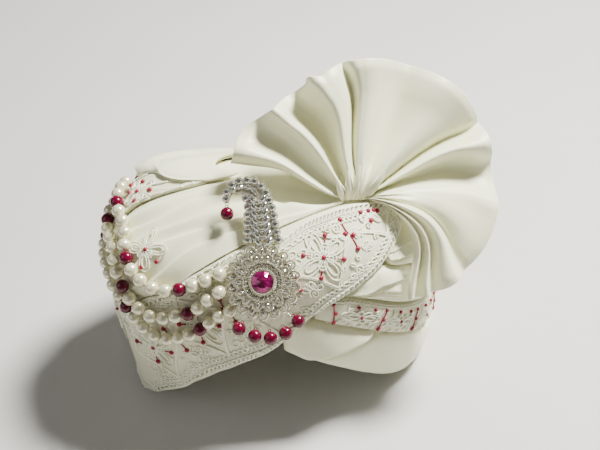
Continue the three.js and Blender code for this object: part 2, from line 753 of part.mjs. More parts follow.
function plate(outline, thick, z) {
  const shape = new THREE.Shape(outline.map((p) => new THREE.Vector2(p[0], p[1])));
  const geometry = new THREE.ExtrudeGeometry(shape, { depth: thick, bevelEnabled: false, steps: 1 });
  geometry.translate(0, 0, z);
  return toSolid(geometry);
}

// A stone in its cup: a girdle with a table above it
function cupStone(x, y, z, r, high) {
  const profile = [
    new THREE.Vector2(0, 0),
    new THREE.Vector2(r, 0),
    new THREE.Vector2(r * 0.6, high),
    new THREE.Vector2(0, high),
  ];
  const geometry = new THREE.LatheGeometry(profile, 6);
  geometry.rotateX(Math.PI / 2);
  geometry.translate(x, y, z);
  return toSolid(geometry);
}

function scallops(count, outer, inner, shift) {
  const outline = [];
  for (let k = 0; k < count; k += 1) {
    for (const [part, r] of [[0, inner], [0.33, outer], [0.67, outer]]) {
      const a = (k + part + shift) * 2 * Math.PI / count;
      outline.push([r * Math.cos(a), r * Math.sin(a)]);
    }
  }
  return outline;
}

// Hooked stem, outline and stones in the jewel frame
const STEM_LEFT = [[-10.5, 22], [-12.8, 28], [-12.2, 34.5], [-12.2, 40], [-12, 46], [-11.6, 52],
  [-13, 58.5], [-15, 61.5], [-18.5, 62.5], [-20.6, 60.5], [-20.8, 55.5]];
const STEM_RIGHT = [[-26, 55.5], [-26.2, 62.5], [-22.6, 68.5], [-16.5, 72.4], [-9.6, 73], [-3.6, 72.2],
  [1.6, 68.2], [5.6, 63.2], [8.2, 57], [10, 51], [11, 45], [12, 39.5], [13, 34], [14.4, 28.5], [15, 22]];
const STEM_STONES = [
  { x: -23.6, y: 57.4, r: 2.2 },
  { x: -23.2, y: 62.3, r: 2.3 },
  { x: -19.6, y: 66.8, r: 2.4 },
  { x: -14.6, y: 69.4, r: 2.4 },
  { x: -9.2, y: 70, r: 2.4 },
  { x: -4, y: 69.2, r: 2.4 },
  { x: 0.4, y: 65.8, r: 2.5 },
  { x: 3.6, y: 61.2, r: 2.5 },
  { x: 5.8, y: 56, r: 2.5 },
  { x: 7.4, y: 50.6, r: 2.5 },
  { x: 8.6, y: 45, r: 2.5 },
  { x: 9.4, y: 39.4, r: 2.5 },
  { x: 10.4, y: 33.8, r: 2.5 },
  { x: 11.6, y: 28.4, r: 2.5 },
  { x: -10.2, y: 57.6, r: 2.3 },
  { x: -8.9, y: 52, r: 2.4 },
  { x: -9.2, y: 46.2, r: 2.4 },
  { x: -9.4, y: 40.4, r: 2.4 },
  { x: -9.4, y: 34.6, r: 2.4 },
  { x: -9.6, y: 28.8, r: 2.4 },
  { x: -5.4, y: 62.6, r: 2.3 },
  { x: -2.4, y: 57.4, r: 2.6 },
  { x: -1.4, y: 50.8, r: 2.8 },
  { x: 2.4, y: 45, r: 2.8 },
  { x: -4, y: 44.2, r: 2.6 },
  { x: 3.2, y: 38.4, r: 2.8 },
  { x: -3.4, y: 37.6, r: 2.8 },
  { x: 4.4, y: 31.4, r: 2.8 },
  { x: -2.8, y: 30.8, r: 2.8 },
];
const PETALS = 14;
const INNER_PETALS = 10;

function jewelBody() {
  const parts = [];
  parts.push(plate(scallops(PETALS, ROSETTE_RADIUS, ROSETTE_RADIUS * 0.86, 0), PLATE_THICK, 0));
  parts.push(plate(scallops(INNER_PETALS, ROSETTE_RADIUS * 0.7, ROSETTE_RADIUS * 0.58, 0.5), 3.4, 0));
  parts.push(plate([...STEM_RIGHT, ...STEM_LEFT], PLATE_THICK, 0));
  for (let k = 0; k < PETALS; k += 1) {
    const a = (k + 0.5) * 2 * Math.PI / PETALS;
    const r = ROSETTE_RADIUS * 0.85;
    parts.push(cupStone(r * Math.cos(a), r * Math.sin(a), PLATE_THICK - 0.3, 2.5, 2.4));
  }
  for (let k = 0; k < INNER_PETALS; k += 1) {
    const a = (k + 1) * 2 * Math.PI / INNER_PETALS;
    const r = ROSETTE_RADIUS * 0.54;
    parts.push(cupStone(r * Math.cos(a), r * Math.sin(a), 3.2, 1.9, 2));
  }
  for (const s of STEM_STONES) parts.push(cupStone(s.x, s.y, PLATE_THICK - 0.3, s.r, 2.3));
  const rim = new THREE.LatheGeometry([
    new THREE.Vector2(STONE_RADIUS + GAP, 2),
    new THREE.Vector2(STONE_RADIUS + GAP + 2, 2),
    new THREE.Vector2(STONE_RADIUS + GAP + 2, 5.2),
    new THREE.Vector2(STONE_RADIUS + GAP + 0.8, 6.4),
    new THREE.Vector2(STONE_RADIUS + GAP, 6.4),
    new THREE.Vector2(STONE_RADIUS + GAP, 2),
  ], 24);
  rim.rotateX(Math.PI / 2);
  parts.push(toSolid(rim));
  return fromSolid('jewel', Manifold.union(parts), jewelFrame, SILVER);
}
group.add(jewelBody());

// Centre stone: table, eight crown facets, girdle and pavilion
function centreStone() {
  const profile = [
    new THREE.Vector2(0, 3.4 + GAP),
    new THREE.Vector2(STONE_RADIUS * 0.6, 3.4 + GAP),
    new THREE.Vector2(STONE_RADIUS, 5.4),
    new THREE.Vector2(STONE_RADIUS, 6.1),
    new THREE.Vector2(STONE_RADIUS * 0.62, 8.8),
    new THREE.Vector2(0, 8.8),
  ];
  const geometry = new THREE.LatheGeometry(profile, 8);
  geometry.rotateX(Math.PI / 2);
  return fromSolid('centre_stone', toSolid(geometry), jewelFrame, GEM);
}
group.add(centreStone());

// Bead drops: a bead with its wire, hanging from the jewel
const DROPS = [
  { name: 'drop_bead_1', x: -16.6, y: -31, out: 0.8, wire: 5.3 },
  { name: 'drop_bead_2', x: -6, y: -36.4, out: 0.8, wire: 8 },
  { name: 'drop_bead_3', x: 4.6, y: -38, out: 0.8, wire: 8.4 },
  { name: 'drop_bead_4', x: 15, y: -34.8, out: 0.8, wire: 8 },
  { name: 'drop_bead_5', x: 23.6, y: -27, out: 0.8, wire: 7.3 },
  { name: 'hook_bead', x: -23.3, y: 47.5, out: 0.8, wire: 2.9 },
];

function drop(spec) {
  const rows = [];
  for (const [a, r] of [[-0.62, 0.785], [0, 1], [0.62, 0.785]]) {
    rows.push(new THREE.Vector2(DROP_RADIUS * r, DROP_RADIUS * a));
  }
  rows.unshift(new THREE.Vector2(0, -DROP_RADIUS));
  rows.push(new THREE.Vector2(0.6, DROP_RADIUS - 0.1));
  rows.push(new THREE.Vector2(0.6, DROP_RADIUS + spec.wire));
  rows.push(new THREE.Vector2(0, DROP_RADIUS + spec.wire));
  const geometry = new THREE.LatheGeometry(rows, BEAD_SIDES);
  const reach = Math.hypot(spec.x, spec.y);
  if (spec.y < 0) geometry.rotateZ(Math.atan2(spec.x / reach, -spec.y / reach));
  geometry.translate(spec.x, spec.y, spec.out);
  return fromSolid(spec.name, toSolid(geometry), jewelFrame, MAGENTA);
}
for (const spec of DROPS) group.add(drop(spec));

// Bar clasp that gathers the far ends of the strands, with one bead
function clasp() {
  const out = bodyNormal(-46.5, 1.19);
  const right = new THREE.Vector3(0, 0, 1).cross(out).normalize();
  const up = out.clone().cross(right);
  const frame = new THREE.Matrix4()
    .makeBasis(right, up, out)
    .setPosition(over(-46.5, 1.19, RIGHT_STANDOFF + BAND_THICK + BRAID_RISE - 1.2));
  const parts = [plate([[-4, -14], [2, -14], [3, 0], [2, 14], [-4, 14], [-3, 0]], PLATE_THICK, 0)];
  for (const y of [-10, -3.3, 3.3, 10]) parts.push(cupStone(-0.8, y, PLATE_THICK - 0.3, 2.7, 2.4));
  return fromSolid('far_clasp', Manifold.union(parts), frame, SILVER);
}
group.add(clasp());

// The frame origin is the centre of the bounding box, on the floor
group.updateMatrixWorld(true);
const box = new THREE.Box3().setFromObject(group);
const shift = new THREE.Vector3(-(box.min.x + box.max.x) / 2, -(box.min.y + box.max.y) / 2, -box.min.z);
for (const mesh of group.children) mesh.geometry.translate(shift.x, shift.y, shift.z);

export default group;
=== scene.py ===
import math

import bpy
import numpy as np
from mathutils import Matrix, Vector


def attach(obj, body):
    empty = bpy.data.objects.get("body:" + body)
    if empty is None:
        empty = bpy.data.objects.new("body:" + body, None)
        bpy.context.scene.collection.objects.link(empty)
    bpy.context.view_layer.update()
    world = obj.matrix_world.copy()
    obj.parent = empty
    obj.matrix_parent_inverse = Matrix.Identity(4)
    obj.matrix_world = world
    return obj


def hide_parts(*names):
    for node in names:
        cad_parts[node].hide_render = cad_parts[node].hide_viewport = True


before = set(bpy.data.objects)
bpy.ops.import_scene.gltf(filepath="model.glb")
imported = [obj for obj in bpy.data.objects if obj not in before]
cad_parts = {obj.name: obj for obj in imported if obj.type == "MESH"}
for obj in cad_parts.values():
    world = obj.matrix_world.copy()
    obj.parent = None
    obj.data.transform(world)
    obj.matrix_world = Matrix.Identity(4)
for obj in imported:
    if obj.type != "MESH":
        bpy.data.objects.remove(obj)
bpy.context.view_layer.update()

rng = np.random.default_rng(7)

# Form of the wound body, in millimetres: the same values as the solids have
HALF_WIDTH = 104
FRONT_REACH = 145
BACK_REACH = 113
CROWN_HEIGHT = 170
SHOULDER_Z = 118
PROW_PINCH = 0.3
HOLLOW_HALF_WIDTH = 78
HOLLOW_HALF_LENGTH = 95
HOLLOW_CENTRE_Y = -14
HOLLOW_TOP = 138
HOLLOW_LIP = 6
GAP = 0.35
BAND_STANDOFF = 1.4
RIGHT_STANDOFF = 2.6
BAND_THICK = 2
BRAID_RISE = 0.9
PLEAT_THICK = 1.8
ROLL_DEPTH = 12
ROLL_BULGE = 4
ROLL_SEAM = 7
WRAP_PUFF = 9
FAN_RADIUS = 90
FAN_TAIL = 14
FAN_AZIMUTH = 68
FAN_TILT = 30
FAN_LIFT = 12
KNOT_TURN = 116
KNOT_U = 1.665
KNOT_RADIUS = 10
PEARL_FILL = 0.97
PEARL_RADIUS = 4.4
DROP_RADIUS = 4.7
ROSETTE_RADIUS = 25
JEWEL_TURN = 56.5
JEWEL_U = 1.236
JEWEL_TILT = 12
JEWEL_LIFT = 4.8
STONE_RADIUS = 7.3
RAD = math.pi / 180
# The soft far side sags a little below its solid
FAR_SETTLE = 7.5

# Wall profile: height share, then front, side and back shares of the reaches
WALL = np.array([
    (0, 0.962, 0.975, 0.98),
    (0.254, 0.985, 1.0, 1.0),
    (0.551, 1.01, 1.0, 1.0),
    (0.805, 1.025, 0.985, 0.98),
    (1, 1.01, 0.955, 0.95),
])
SHOULDER = {"centre": -46, "spread": 44, "widen": 0.07, "square": 0.53, "lift": 0.4, "rise": 2}
SLOPE = {"centre": -103, "spread": 82, "drop": 0.34, "narrow": 0.04, "round": 1.5}


def hermite(x, xs, ys):
    xs, ys = np.asarray(xs, float), np.asarray(ys, float)
    step = np.diff(ys) / np.diff(xs)
    slope = np.concatenate([step[:1], 0.5 * (step[:-1] + step[1:]), step[-1:]])
    c = np.clip(np.asarray(x, float), xs[0], xs[-1])
    i = np.clip(np.searchsorted(xs, c, side="right") - 1, 0, len(xs) - 2)
    h = xs[i + 1] - xs[i]
    t = (c - xs[i]) / h
    t2, t3 = t * t, t * t * t
    value = (2 * t3 - 3 * t2 + 1) * ys[i] + (t3 - 2 * t2 + t) * h * slope[i]
    return value + (3 * t2 - 2 * t3) * ys[i + 1] + (t3 - t2) * h * slope[i + 1]


def columns(path, s):
    """Every column of a table of places, at the share s of its rows."""
    at = np.asarray(s, float) * (len(path) - 1)
    return [hermite(at, np.arange(len(path)), column) for column in path.T]


def smooth(a, b, x):
    t = np.clip((np.asarray(x, float) - a) / (b - a), 0, 1)
    return t * t * (3 - 2 * t)


def vec(x, y, z):
    return np.stack(np.broadcast_arrays(x, y, z), -1).astype(float)


def unit(v):
    return v / np.maximum(np.linalg.norm(v, axis=-1, keepdims=True), 1e-12)


def body(deg, u):
    """Outer surface: u 0 to 1 climbs the wall, u 1 to 2 runs over the shoulder to the top."""
    deg, u = np.broadcast_arrays(np.asarray(deg, float), np.asarray(u, float))
    c, s = np.cos(deg * RAD), np.sin(deg * RAD)
    w = np.clip(u, 0, 1)
    al = np.clip(u - 1, 0, 1) * math.pi / 2
    side = hermite(w, WALL[:, 0], WALL[:, 2])
    end = np.where(c > 0, hermite(w, WALL[:, 0], WALL[:, 1]), hermite(w, WALL[:, 0], WALL[:, 3]))
    scale = side + (end - side) * c * c
    turn = (deg + 180) % 360 - 180
    past = np.where(turn > 75, turn - 360, turn)
    g = smooth(0, 1, 1 - np.abs(turn - SHOULDER["centre"]) / SHOULDER["spread"])
    b = smooth(0, 1, 1 - np.abs(past - SLOPE["centre"]) / SLOPE["spread"])
    scale = scale * (1 + (SHOULDER["widen"] * g - SLOPE["narrow"] * b) * w**1.5)
    cap = np.maximum(np.cos(al), 1e-9) ** (0.75 - SHOULDER["square"] * g + SLOPE["round"] * b)
    rise = np.sin(al) ** (0.95 - SHOULDER["lift"] * g)
    wall = SHOULDER_Z * (1 - SLOPE["drop"] * b)
    z = w * wall + (CROWN_HEIGHT + SHOULDER["rise"] * g - wall) * rise
    settled = smooth(1.42, 1.66, u) * (1 - smooth(1.78, 1.98, u))
    z = z - FAR_SETTLE * settled * smooth(36, 56, -past) * (1 - smooth(95, 130, -past))
    pinch = 1 - PROW_PINCH * np.maximum(0, c) ** 2
    reach = np.where(c > 0, FRONT_REACH, BACK_REACH)
    return vec(HALF_WIDTH * s * pinch * scale * cap, -reach * c * scale * cap, z)


def body_normal(deg, u):
    uu = np.clip(u, 0, 1.985)
    p = body(deg, uu)
    across = body(np.asarray(deg) + 0.05, uu) - p
    up = body(deg, uu + 0.002) - p
    return unit(np.cross(across, up))


def over(deg, u, lift):
    return body(deg, u) + body_normal(deg, u) * np.asarray(lift, float)[..., None]


def soft_normal(deg, u):
    n = body_normal(deg, u)
    for turn in (-14, 14):
        for climb in (-0.12, 0.12):
            n = n + body_normal(np.asarray(deg) + turn, np.asarray(u) + climb)
    return unit(n)


def over_soft(deg, u, lift):
    return body(deg, u) + soft_normal(deg, u) * np.asarray(lift, float)[..., None]


def level(deg, u, lift):
    n = body_normal(deg, np.minimum(u, 0.9))
    n[..., 2] = 0
    return body(deg, u) + unit(n) * np.asarray(lift, float)[..., None]


# Edges of the front bands and the back rolls, by turn away from the front
BAND_EDGE = np.array([
    (0, 0.0, 0.16), (12, 0.11, 0.25), (24, 0.223, 0.36), (36, 0.372, 0.5), (50, 0.581, 0.68),
    (59.5, 0.705, 0.78), (68.5, 0.903, 0.955), (79.5, 1.032, 1.085), (94, 1.19, 1.24),
    (105.5, 1.3, 1.35), (117.5, 1.4, 1.4), (140, 1.4, 1.2), (160, 1.4, 1.06), (180, 1.4, 1.0),
])
ROLL_EDGE = np.array([
    (60, 0.71, 0.93, 1.08, 1.3), (67.5, 0.595, 0.9, 1.05, 1.27), (81, 0.402, 0.779, 0.992, 1.24),
    (92, 0.235, 0.64, 0.873, 1.19), (109, 0.06, 0.45, 0.7, 1.0), (123, 0.0, 0.33, 0.58, 0.86),
    (145, 0.0, 0.29, 0.54, 0.79), (180, 0.0, 0.27, 0.52, 0.76),
])


def band_low(t):
    return hermite(t, BAND_EDGE[:, 0], BAND_EDGE[:, 1])


def step_u(t):
    return hermite(t, BAND_EDGE[:, 0], BAND_EDGE[:, 2])


def roll_edge(t, which):
    return np.maximum(0, hermite(t, ROLL_EDGE[:, 0], ROLL_EDGE[:, 1 + which]))


def turn_of(deg):
    return np.abs((np.asarray(deg, float) + 180) % 360 - 180)


def recess(deg):
    return smooth(50, 66, turn_of(deg))


def lowest_u(deg):
    t = turn_of(deg)
    return np.where(t < 60, band_low(t) + 0.035, roll_edge(t, 0) + 0.03)


# The crown's top centre lies on the body axis, so its place in the frame gives the shift
apex = min(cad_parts["crown"].data.vertices, key=lambda v: abs(v.co.z * 1000 - CROWN_HEIGHT))
SHIFT = np.array([apex.co.x * 1000, apex.co.y * 1000, 0])


# Materials

class Shader:
    """A Principled material with small helpers for its nodes."""

    def __init__(self, name, **sockets):
        self.material = bpy.data.materials.new(name)
        self.material.use_nodes = True
        self.nodes = self.material.node_tree.nodes
        self.links = self.material.node_tree.links
        self.bsdf = self.nodes["Principled BSDF"]
        for key, value in sockets.items():
            self.bsdf.inputs[key.replace("_", " ")].default_value = value
        self.normal = None

    def node(self, kind, inputs=None, **props):
        made = self.nodes.new(kind)
        for key, value in props.items():
            setattr(made, key, value)
        for key, value in (inputs or {}).items():
            if hasattr(value, "is_output"):
                self.links.new(value, made.inputs[key])
            else:
                made.inputs[key].default_value = value
        return made

    def noise(self, scale, detail=3, vector=None):
        inputs = {"Scale": scale, "Detail": detail, "Vector": vector or self.place()}
        return self.node("ShaderNodeTexNoise", inputs).outputs["Fac"]

    def place(self):
        return self.node("ShaderNodeTexCoord").outputs["Object"]

    def uv(self):
        return self.node("ShaderNodeTexCoord").outputs["UV"]

    def weave(self, pitch):
        """Threads crossing at the given pitch in metres, along the cloth's own directions."""
        both = []
        for direction in ("X", "Y"):
            wave = self.node(
                "ShaderNodeTexWave",
                {"Scale": 1 / pitch * 0.159, "Distortion": 0.6, "Detail": 1, "Vector": self.uv()},
                bands_direction=direction)
            both.append(wave.outputs["Fac"])
        return self.math("MULTIPLY", both[0], both[1])

    def math(self, operation, a, b):
        return self.node("ShaderNodeMath", {0: a, 1: b}, operation=operation).outputs[0]

    def ramp(self, fac, stops):
        made = self.node("ShaderNodeValToRGB", {"Fac": fac})
        elements = made.color_ramp.elements
        for k, (at, colour) in enumerate(stops):
            element = elements[k] if k < 2 else elements.new(at)
            element.position = at
            element.color = (*colour, 1)
        return made.outputs["Color"]

    def colour(self, value):
        self.links.new(value, self.bsdf.inputs["Base Color"])

    def rough(self, fac, low, high):
        spread = self.node(
            "ShaderNodeMapRange", {"Value": fac, "To Min": low, "To Max": high}).outputs["Result"]
        self.links.new(spread, self.bsdf.inputs["Roughness"])

    def bump(self, height, distance, strength=1.0):
        inputs = {"Height": height, "Distance": distance, "Strength": strength}
        if self.normal:
            inputs["Normal"] = self.normal
        self.normal = self.node("ShaderNodeBump", inputs).outputs["Normal"]
        self.links.new(self.normal, self.bsdf.inputs["Normal"])


def cloth_material(name, light, dark, roughness, sheen, pitch, weave_depth, crease):
    s = Shader(name, Sheen_Weight=sheen, Sheen_Roughness=0.45, IOR=1.45)
    s.bsdf.inputs["Sheen Tint"].default_value = (1.0, 0.99, 0.94, 1)
    broad = s.noise(14, 4)
    s.colour(s.ramp(broad, [(0.3, dark), (0.7, light)]))
    s.rough(s.noise(60, 2), roughness - 0.06, roughness + 0.06)
    s.bump(s.noise(30, 5), crease, 0.6)
    s.bump(s.weave(pitch), weave_depth, 0.8)
    return s.material


IVORY = cloth_material(
    "ivory_cloth", (0.87, 0.87, 0.66), (0.81, 0.805, 0.58), 0.55, 0.2, 0.0007, 0.00006, 0.001)
SATIN = cloth_material(
    "ivory_satin", (0.88, 0.88, 0.65), (0.82, 0.815, 0.57), 0.4, 0.25, 0.0005, 0.00003, 0.0011)
GROUND = cloth_material(
    "band_ground", (0.77, 0.755, 0.57), (0.69, 0.67, 0.48), 0.62, 0.15, 0.0009, 0.00014, 0.0006)
LINING = cloth_material(
    "cotton_lining", (0.72, 0.70, 0.62), (0.66, 0.64, 0.55), 0.8, 0.1, 0.0009, 0.00014, 0.0012)


def plain_material(name, dark, light, stops, grain, rough, relief=None, **sockets):
    """Colour, roughness and relief that each follow a fine noise of their own."""
    s = Shader(name, **sockets)
    s.colour(s.ramp(s.noise(*grain), [(stops[0], dark), (stops[1], light)]))
    s.rough(s.noise(*rough[:2]), *rough[2:])
    if relief:
        s.bump(s.noise(*relief[:2]), *relief[2:])
    return s.material


def thread_material(name, light, dark, roughness, sheen):
    return plain_material(
        name, dark, light, (0.35, 0.65), (420, 2), (260, 2, roughness - 0.08, roughness + 0.08),
        (1500, 2, 0.0002, 0.7), Sheen_Weight=sheen, Sheen_Roughness=0.3)


def rhinestone_material(name, dark, light):
    return plain_material(
        name, dark, light, (0.35, 0.65), (700, 1), (900, 1, 0.03, 0.09),
        Metallic=0.9, Coat_Weight=1.0, Coat_Roughness=0.02)


def gem_material(name, dark, light):
    return plain_material(
        name, dark, light, (0.4, 0.62), (180, 2), (500, 1, 0.04, 0.1),
        Metallic=0.7, Coat_Weight=1.0, Coat_Roughness=0.02, IOR=1.7)


CORD = thread_material("ivory_cord", (0.92, 0.915, 0.74), (0.82, 0.81, 0.62), 0.34, 0.3)
MAGENTA_THREAD = thread_material("magenta_thread", (0.34, 0.002, 0.035), (0.19, 0.001, 0.02), 0.5, 0.05)
PEARL = plain_material(
    "pearl", (0.75, 0.705, 0.48), (0.84, 0.80, 0.59), (0.3, 0.7), (90, 2), (400, 2, 0.2, 0.3),
    (500, 2, 0.00006, 0.5), Metallic=0.35, Coat_Weight=1.0, Coat_Roughness=0.06, IOR=1.6)
BEAD = plain_material(
    "magenta_bead", (0.075, 0.0001, 0.012), (0.125, 0.0002, 0.021), (0.3, 0.7), (160, 2),
    (300, 2, 0.16, 0.26), Coat_Weight=0.4, Coat_Roughness=0.03, IOR=1.33)
SILVER = plain_material(
    "silver", (0.86, 0.81, 0.64), (0.97, 0.94, 0.82), (0.3, 0.7), (240, 3), (600, 3, 0.12, 0.26),
    (900, 2, 0.00005, 0.6), Metallic=0.9)
# Dark metal for the jewel's plates and collar: painted shade that stands in for the shaded openwork between
# the stones and wires.
PLATE_PAINTED_SHADE = plain_material(
    "setting_plate_painted_shade", (0.5, 0.46, 0.35), (0.74, 0.7, 0.56), (0.3, 0.7), (300, 3), (600, 3, 0.35, 0.5),
    Metallic=1.0)
# The clear stone in two copies: the darker one is painted dark reflection on alternate facets and the
# table, for sparkle.
CLEAR = rhinestone_material("clear_stone", (0.66, 0.67, 0.62), (0.95, 0.95, 0.9))
CLEAR_DARK_REFLECTION = rhinestone_material("clear_stone_painted_dark_reflection", (0.24, 0.25, 0.22), (0.5, 0.51, 0.46))
# The magenta stone in two copies: the darker one is painted dark reflection on alternate facets and the
# table.
GEM = gem_material("magenta_stone", (0.22, 0.001, 0.08), (0.52, 0.004, 0.22))
GEM_DARK_REFLECTION = gem_material("magenta_stone_painted_dark_reflection", (0.10, 0.0005, 0.03), (0.30, 0.003, 0.12))


# Mesh building

class Build:
    """Collects points, faces, uv and material numbers of one piece, in work frame millimetres."""

    def __init__(self):
        self.points, self.faces, self.uvs, self.mats = [], [], [], []
        self.count = 0

    def add(self, points, faces, uv=None, mat=0):
        points = np.asarray(points, float).reshape(-1, 3)
        faces = np.asarray(faces, int) + self.count
        self.points.append(points)
        self.faces.append(faces)
        self.uvs.append(np.zeros((len(points), 2)) if uv is None else np.asarray(uv, float).reshape(-1, 2))
        self.mats.append(np.full(len(faces), mat))
        self.count += len(points)

    def caps(self, firsts, around, start, mat):
        """Flat faces over the rings of points that begin at the given numbers."""
        k = np.arange(1, around - 1)
        for first in firsts:
            self.faces.append(np.stack([np.full(around - 2, first), first + k, first + k + 1], 1) + start)
            self.mats.append(np.full(around - 2, mat))

    def piece(self, name, materials, slot, nodes=(), sharp=None):
        points = (np.concatenate(self.points) + SHIFT) / 1000
        mesh = bpy.data.meshes.new(name)
        faces = [f for group in self.faces for f in group.tolist()]
        mesh.from_pydata(points.tolist(), [], faces)
        mesh.polygons.foreach_set("material_index", np.concatenate(self.mats).astype(np.int32))
        layer = mesh.uv_layers.new(name="cloth")
        index = np.zeros(len(mesh.loops), np.int32)
        mesh.loops.foreach_get("vertex_index", index)
        layer.data.foreach_set("uv", (np.concatenate(self.uvs)[index] / 1000).astype(np.float32).ravel())
        for material in materials:
            mesh.materials.append(material)
        mesh.shade_smooth()
        if sharp:
            mesh.set_sharp_from_angle(angle=sharp * RAD)
        made = bpy.data.objects.new(name, mesh)
        bpy.context.scene.collection.objects.link(made)
        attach(made, "root")
        if nodes:
            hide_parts(*nodes)
        return made


def grid_uv(p):
    """Lengths along both directions of a grid of points."""
    along = np.linalg.norm(np.diff(p, axis=0), axis=-1).mean(1)
    across = np.linalg.norm(np.diff(p, axis=1), axis=-1).mean(0)
    u = np.concatenate([[0], np.cumsum(along)])
    v = np.concatenate([[0], np.cumsum(across)])
    return np.stack(np.meshgrid(u, v, indexing="ij"), -1)


def shell(build, top, bottom):
    """Closed body between two grids of points of the same size."""
    rows, cols = top.shape[:2]
    base = rows * cols
    uv = grid_uv(top)
    i, j = np.meshgrid(np.arange(rows - 1), np.arange(cols - 1), indexing="ij")
    a = (i * cols + j).ravel()
    quads = [np.stack([a, a + cols, a + cols + 1, a + 1], 1),
             np.stack([a, a + 1, a + cols + 1, a + cols], 1) + base]
    rim = [k * cols for k in range(rows)]
    rim += [(rows - 1) * cols + k for k in range(1, cols)]
    rim += [k * cols + cols - 1 for k in range(rows - 2, -1, -1)]
    rim += list(range(cols - 2, 0, -1))
    rim = np.array(rim)
    nxt = np.roll(rim, -1)
    quads.append(np.stack([rim, rim + base, nxt + base, nxt], 1))
    points = np.concatenate([top.reshape(-1, 3), bottom.reshape(-1, 3)])
    build.add(points, outward(points, np.concatenate(quads)), np.tile(uv.reshape(-1, 2), (2, 1)))


def outward(points, quads):
    """The faces in the order that makes the closed body's volume positive."""
    p = points[quads]
    volume = 0
    for a, b, c in ((0, 1, 2), (0, 2, 3)):
        volume += np.einsum("ij,ij->i", p[:, a], np.cross(p[:, b], p[:, c])).sum()
    return quads[:, ::-1] if volume < 0 else quads


def ring_cells(rows, around, total=None):
    """Corner numbers of the cells between rings of points, where ring number total is the first again."""
    i, j = np.meshgrid(np.arange(rows), np.arange(around), indexing="ij")
    low, high = i * around, (i + 1) % (total or rows + 1) * around
    after = (j + 1) % around
    return [(a + b).ravel() for a, b in ((low, j), (low, after), (high, after), (high, j))]


def loops_body(build, loops):
    """Closed body through a run of loops, ends drawn in to their centres."""
    n, m = loops.shape[:2]
    first, last = loops[:1].mean(1, keepdims=True), loops[-1:].mean(1, keepdims=True)
    ends = [first + (loops[:1] - first) * 0.02, loops, last + (loops[-1:] - last) * 0.02]
    loops = np.concatenate(ends)
    n += 2
    quads = outward(loops.reshape(-1, 3), np.stack(ring_cells(n - 1, m), 1))
    closed = np.concatenate([loops, loops[:, :1]], 1)
    uv = grid_uv(closed)[:, :-1]
    start = build.count
    build.add(loops.reshape(-1, 3), quads, uv.reshape(-1, 2))
    build.caps((0, (n - 1) * m), m, start, 0)


def tube(build, path, normals, radius, sides=6, flat=1.0, mat=0, closed=False):
    """A round cord along a path, with normals that say which way is up."""
    path = np.asarray(path, float)
    n = len(path)
    if closed:
        forward = unit(np.roll(path, -1, 0) - np.roll(path, 1, 0))
    else:
        forward = unit(np.gradient(path, axis=0))
    side = unit(np.cross(forward, normals))
    up = np.cross(side, forward)
    t = np.arange(sides)[None, :, None] * 2 * math.pi / sides
    radius = np.broadcast_to(radius, (n,))[:, None, None]
    wire = path[:, None] + radius * (side[:, None] * np.cos(t) + flat * up[:, None] * np.sin(t))
    a, b, c, d = ring_cells(n if closed else n - 1, sides, n)
    build.add(wire.reshape(-1, 3), np.stack([a, d, c, b], 1), mat=mat)
    if not closed:
        build.caps((0, (n - 1) * sides), sides, build.count - n * sides, mat)


def ball(build, centre, radius, mat=0, around=16, rings=9, squash=1.0, axis=None):
    """A ball of rings round its own axis, with a small flat face at each pole."""
    a = np.arange(around) * 2 * math.pi / around
    t = np.linspace(0.04, math.pi - 0.04, rings)[:, None]
    local = vec(np.sin(t) * np.cos(a), np.sin(t) * np.sin(a), squash * np.cos(t) * np.ones_like(a))
    if axis is not None:
        local = local @ np.array(axes_for(axis))
    points = np.asarray(centre) + local * radius
    a, b, c, d = ring_cells(rings - 1, around)
    start = build.count
    build.add(points.reshape(-1, 3), np.stack([a, d, c, b], 1), mat=mat)
    build.caps((0, (rings - 1) * around), around, start, mat)


def axes_for(up):
    up = unit(np.asarray(up, float))
    side = unit(np.cross((0.3, 0.2, 0.9) if abs(up[2]) < 0.9 else (1, 0, 0), up))
    return side, np.cross(up, side), up


# Crown: wound cloth outside, the open head hollow inside

def hollow(deg, z):
    spring = 0.62 * HOLLOW_TOP
    t = np.clip((z - spring) / (HOLLOW_TOP - spring), 0, 1)
    k = np.sqrt(1 - t * t)
    x = HOLLOW_HALF_WIDTH * np.sin(deg * RAD) * k
    return vec(x, HOLLOW_CENTRE_Y - HOLLOW_HALF_LENGTH * np.cos(deg * RAD) * k, z)


def wound(deg, u):
    """Height of overlapping turns of cloth that wind round the crown and sweep up to the knot."""
    turn = (deg - KNOT_TURN) * RAD
    lean = 0.10 * np.cos(turn) + 0.05 * np.sin(2 * turn + 0.6)
    phase = (u + lean) * 7.5
    share = phase - np.floor(phase)
    step = np.where(share < 0.86, share / 0.86, (1 - share) / 0.14)
    ease = smooth(0.0, 0.18, u - step_u(turn_of(deg)) - 0.02) * (1 - smooth(1.86, 1.97, u))
    return ease * (1.7 * smooth(0, 1, step) - 0.9)


